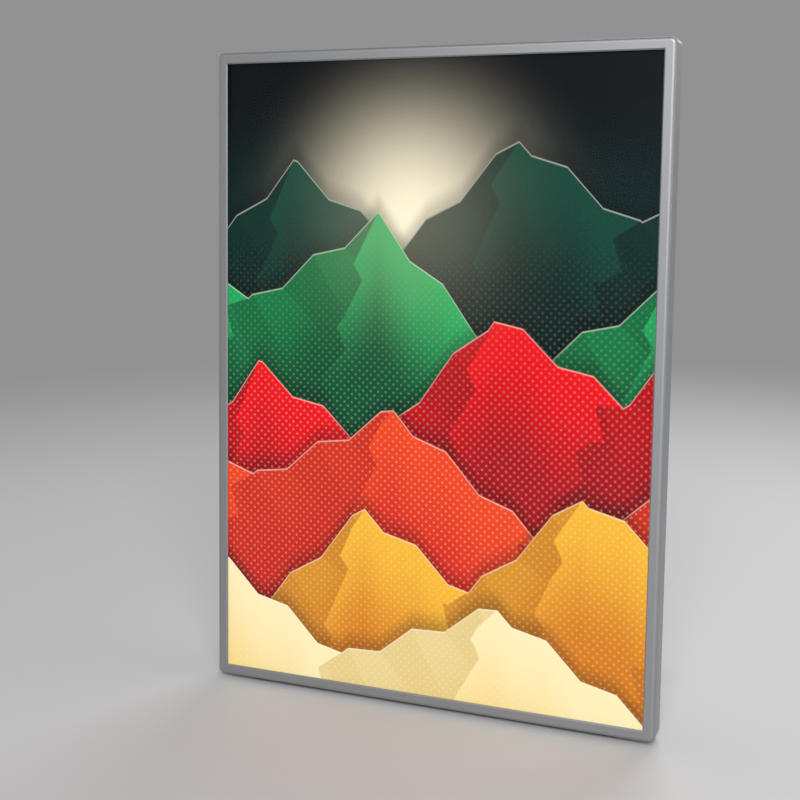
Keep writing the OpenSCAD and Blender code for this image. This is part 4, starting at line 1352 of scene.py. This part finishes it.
@dataclass(frozen=True)
class RibbedBoot:
    """A rubber boot on the end of a foot's arm, open where the arm goes in, with grooves round it.

    Attributes:
        start: The distance from the hinge to its mouth.
        end: The distance from the hinge to its closed end.
        half: Half its width.
        top: The height of its upper face.
        edge_r: The radius of its edges.
        edge_steps: How many faces round each edge has.
        arm_half: Half the width of the arm's bore.
        arm_end: The distance from the hinge to the bore's end.
        arm_low: The height of the bore's lower face, at its mouth and at its end.
        arm_top: The height of the bore's upper face.
        groove: How much narrower the boot is in a groove, as a share.
        cuts: How many rings of vertices go round it.
        groove_every: How many rings there are to a groove.
        smooth: The largest angle, in degrees, that is shaded smooth.
    """

    start: float = 80.0
    end: float = 97.0
    half: float = 4.5
    top: float = 16.565
    edge_r: float = 1.2
    edge_steps: int = 3
    arm_half: float = 2.55
    arm_end: float = 95.05
    arm_low: Span = (6.85, 6.51)
    arm_top: float = 14.62
    groove: float = 0.9
    cuts: int = 11
    groove_every: int = 3
    smooth: float = 50.0

    def _block(self, shape: Shape, hinge: Vector, middle: Vector) -> None:
        """Adds the boot's block, with its bore, its sole on the floor and its edges rounded.

        Args:
            shape: The shape to add it to.
            hinge: The place of the foot's hinge.
            middle: The middle of the boot.
        """
        mesh = shape.mesh
        near, far = hinge.y + self.start, hinge.y + self.end
        low = PANEL.floor_z(near)
        shape.block((hinge.x - self.half, near, low), (hinge.x + self.half, far, self.top))
        for vert in mesh.verts:
            if vert.co.z < middle.z:
                vert.co.z = PANEL.floor_z(vert.co.y)
        outside = [e for e in mesh.edges if max(v.co.y for v in e.verts) > middle.y]
        mouth = [f for f in mesh.faces if all(v.co.y < middle.y for v in f.verts)]
        bmesh.ops.inset_region(mesh, faces=mouth, thickness=self.half - self.arm_half)
        for vert in mouth[0].verts:
            vert.co.z = self.arm_low[0] if vert.co.z < middle.z else self.arm_top
        bore = bmesh.ops.extrude_discrete_faces(mesh, faces=mouth)["faces"][0]
        for vert in bore.verts:
            vert.co.y = hinge.y + self.arm_end
            if vert.co.z < middle.z:
                vert.co.z = self.arm_low[1]
        bmesh.ops.bevel(
            mesh,
            geom=outside,
            offset=self.edge_r,
            affect="EDGES",
            segments=self.edge_steps,
            profile=0.5,
            material=-1,
        )

    def _grooves(self, shape: Shape, hinge: Vector, middle: Vector) -> None:
        """Presses grooves round the boot.

        Args:
            shape: The shape that the boot is in.
            hinge: The place of the foot's hinge.
            middle: The middle of the boot.
        """
        bore_half = self.half - TINY - self.edge_r
        strips = []
        for edge in shape.mesh.edges:
            first, second = (vert.co for vert in edge.verts)
            along = abs(first.y - second.y) > self.edge_r
            bored = max(abs(first.x - hinge.x), abs(second.x - hinge.x)) < bore_half
            if along and not bored:
                strips.append(edge)
        rings = bmesh.ops.subdivide_edges(shape.mesh, edges=strips, cuts=self.cuts, use_grid_fill=True)
        pitch = (self.end - self.start - self.edge_r) / (self.cuts + 1)
        for vert in rings["geom_inner"]:
            if not isinstance(vert, bmesh.types.BMVert):
                continue
            ring = round((vert.co.y - hinge.y - self.start) / pitch)
            if ring % self.groove_every == 1:
                vert.co.x = middle.x + self.groove * (vert.co.x - middle.x)
                vert.co.z = middle.z + self.groove * (vert.co.z - middle.z)

    def draw(self, shape: Shape, hinge: Vector) -> None:
        """Adds the boot to a shape.

        Args:
            shape: The shape to add it to.
            hinge: The place of the foot's hinge.
        """
        near, far = hinge.y + self.start, hinge.y + self.end
        middle = Vector((hinge.x, (near + far) / 2.0, (PANEL.floor_z(near) + self.top) / 2.0))
        self._block(shape, hinge, middle)
        self._grooves(shape, hinge, middle)


@dataclass(frozen=True)
class RearFeet:
    """The folding feet, their brackets and their hinges."""

    coat: Finish = PowderCoat(
        "black_powder",
        colour=(0.026, 0.027, 0.029),
        rough=0.5,
        dust=(0.10, 0.10, 0.10),
    )
    nylon: Finish = Moulding("foot_nylon", colour=(0.040, 0.041, 0.043))
    rubber: Finish = Rubber("black_rubber")
    steel: Finish = PlatedMetal("zinc_steel")
    white: Finish = Moulding("washer_nylon", colour=(0.80, 0.80, 0.77))
    hinge_x: float = 125.0
    hinge_y: float = 24.6
    plate_y: float = 19.8
    screw_x: float = 12.2
    screw_z: Span = (15.0, 36.2)
    screw: PanHeadScrew = PanHeadScrew(2.6, 1.7, 1.4, 5.1)
    turn_step: float = 1.9
    boot: RibbedBoot = RibbedBoot()

    def _screws(self, wardrobe: Wardrobe) -> None:
        """Makes the brackets' screws.

        Args:
            wardrobe: Where their material comes from.
        """
        shape = Shape()
        steps = (-self.screw_x, self.screw_x)
        across = [hinge + step for hinge in (-self.hinge_x, self.hinge_x) for step in steps]
        for count, (x, z) in enumerate((x, z) for x in across for z in self.screw_z):
            self.screw.draw(shape, x, self.plate_y, z, count * self.turn_step)
        steel = wardrobe.material(self.steel)
        made = shape.piece("bracket_pan_screws", Body.FRAME, steel, self.screw.smooth)
        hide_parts("bracket_screws")

    def _boot(self, wardrobe: Wardrobe, side: str, hinge_x: float, body: Body) -> None:
        """Makes one foot's boot.

        Args:
            wardrobe: Where its material comes from.
            side: The side's name.
            hinge_x: The place of the side's hinge across the panel.
            body: The foot that it is on.
        """
        shape = Shape()
        self.boot.draw(shape, Vector((hinge_x, self.hinge_y, 0.0)))
        rubber = wardrobe.material(self.rubber)
        made = shape.piece(f"{side}_ribbed_boot", body, rubber, self.boot.smooth)
        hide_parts(f"{side}_foot_tip")

    def build(self, wardrobe: Wardrobe) -> None:
        """Dresses the feet and makes their screws and boots.

        Args:
            wardrobe: Where the materials come from.
        """
        wardrobe.dress(self.coat, "left_foot_bracket", "right_foot_bracket")
        wardrobe.dress(self.nylon, "left_foot_arm", "right_foot_arm")
        wardrobe.dress(self.steel, "left_hinge_pin", "right_hinge_pin", "pin_clips", "bracket_nuts")
        wardrobe.dress(self.white, "hinge_washers")
        self._screws(wardrobe)
        self._boot(wardrobe, "left", -self.hinge_x, Body.LEFT_FOOT)
        self._boot(wardrobe, "right", self.hinge_x, Body.RIGHT_FOOT)


@dataclass(frozen=True)
class Lamp:
    """A soft square lamp, in metres and watts."""

    name: str
    at: Point
    size: float
    power: float

    def hang(self, aim: Point) -> None:
        """Hangs the lamp and turns it to a point.

        Args:
            aim: The point that it faces.
        """
        data = bpy.data.lights.new(self.name, "AREA")
        data.size = self.size
        data.energy = self.power
        lamp = bpy.data.objects.new(self.name, data)
        lamp.location = self.at
        lamp.rotation_euler = (Vector(aim) - Vector(self.at)).to_track_quat("-Z", "Y").to_euler()
        bpy.context.scene.collection.objects.link(lamp)


@dataclass(frozen=True)
class Studio:
    """The floor, the soft light and the camera, in metres and degrees."""

    floor_r: float = 6.0
    floor_drop: float = 0.0003
    floor_steps: int = 64
    backdrop: Colour = (0.29, 0.286, 0.288)
    aim: Point = (0.0, 0.0, 0.22)
    lamps: tuple[Lamp, ...] = (
        Lamp("key_light", (0.75, -1.9, 1.45), 1.3, 50.0),
        Lamp("left_light", (-2.3, 0.35, 0.9), 1.6, 8.0),
        Lamp("right_light", (2.3, 0.45, 0.9), 1.6, 10.0),
        Lamp("back_light", (0.2, 2.3, 1.5), 1.6, 30.0),
    )
    camera_at: Point = (0.29047, -0.76549, 0.36988)
    camera_turn: Point = (81.434, 0.401, 21.874)
    lens: float = 57.96
    sensor: float = 36.0
    shift_y: float = -0.075

    def _floor(self) -> None:
        """Lays a wide pale floor."""
        mesh = bmesh.new()
        bmesh.ops.create_circle(mesh, cap_ends=True, segments=self.floor_steps, radius=self.floor_r)
        bmesh.ops.translate(mesh, vec=(0.0, 0.0, -self.floor_drop), verts=mesh.verts)
        data = bpy.data.meshes.new("floor")
        mesh.to_mesh(data)
        mesh.free()
        data.materials.append(PaleFloor("pale_floor", self.backdrop).material())
        made = bpy.data.objects.new("floor", data)
        bpy.context.scene.collection.objects.link(made)

    def _world(self) -> None:
        """Sets a pale backdrop that lights the part softly from all round."""
        world = bpy.data.worlds.new("studio")
        bpy.context.scene.world = world
        world.use_nodes = True
        graph = Graph(world.node_tree)
        light = graph.node("ShaderNodeBackground", inputs={"Color": (*self.backdrop, 1.0)})
        graph.surface(light, "ShaderNodeOutputWorld")

    def _camera(self) -> None:
        """Sets the camera where the photograph was taken from."""
        data = bpy.data.cameras.new("camera")
        data.sensor_width = self.sensor
        data.lens = self.lens
        data.shift_y = self.shift_y
        camera = bpy.data.objects.new("camera", data)
        camera.location = self.camera_at
        camera.rotation_euler = [math.radians(angle) for angle in self.camera_turn]
        bpy.context.scene.collection.objects.link(camera)
        bpy.context.scene.camera = camera

    def build(self) -> None:
        """Sets the whole studio."""
        bpy.context.scene.view_settings.view_transform = "Standard"
        self._camera()
        self._floor()
        self._world()
        for lamp in self.lamps:
            lamp.hang(self.aim)


def main() -> None:
    """Builds the studio and dresses the part, one sub-assembly at a time."""
    logging.basicConfig(level=logging.INFO, format="%(message)s")
    Studio().build()
    wardrobe = Wardrobe()
    for assembly in (FrontCover(), LightEngine(), MitredFrame(), BackSheet(), Electrics(), RearFeet()):
        assembly.build(wardrobe)
        LOG.info("built %s", type(assembly).__name__)


if __name__ == "__main__":
    main()
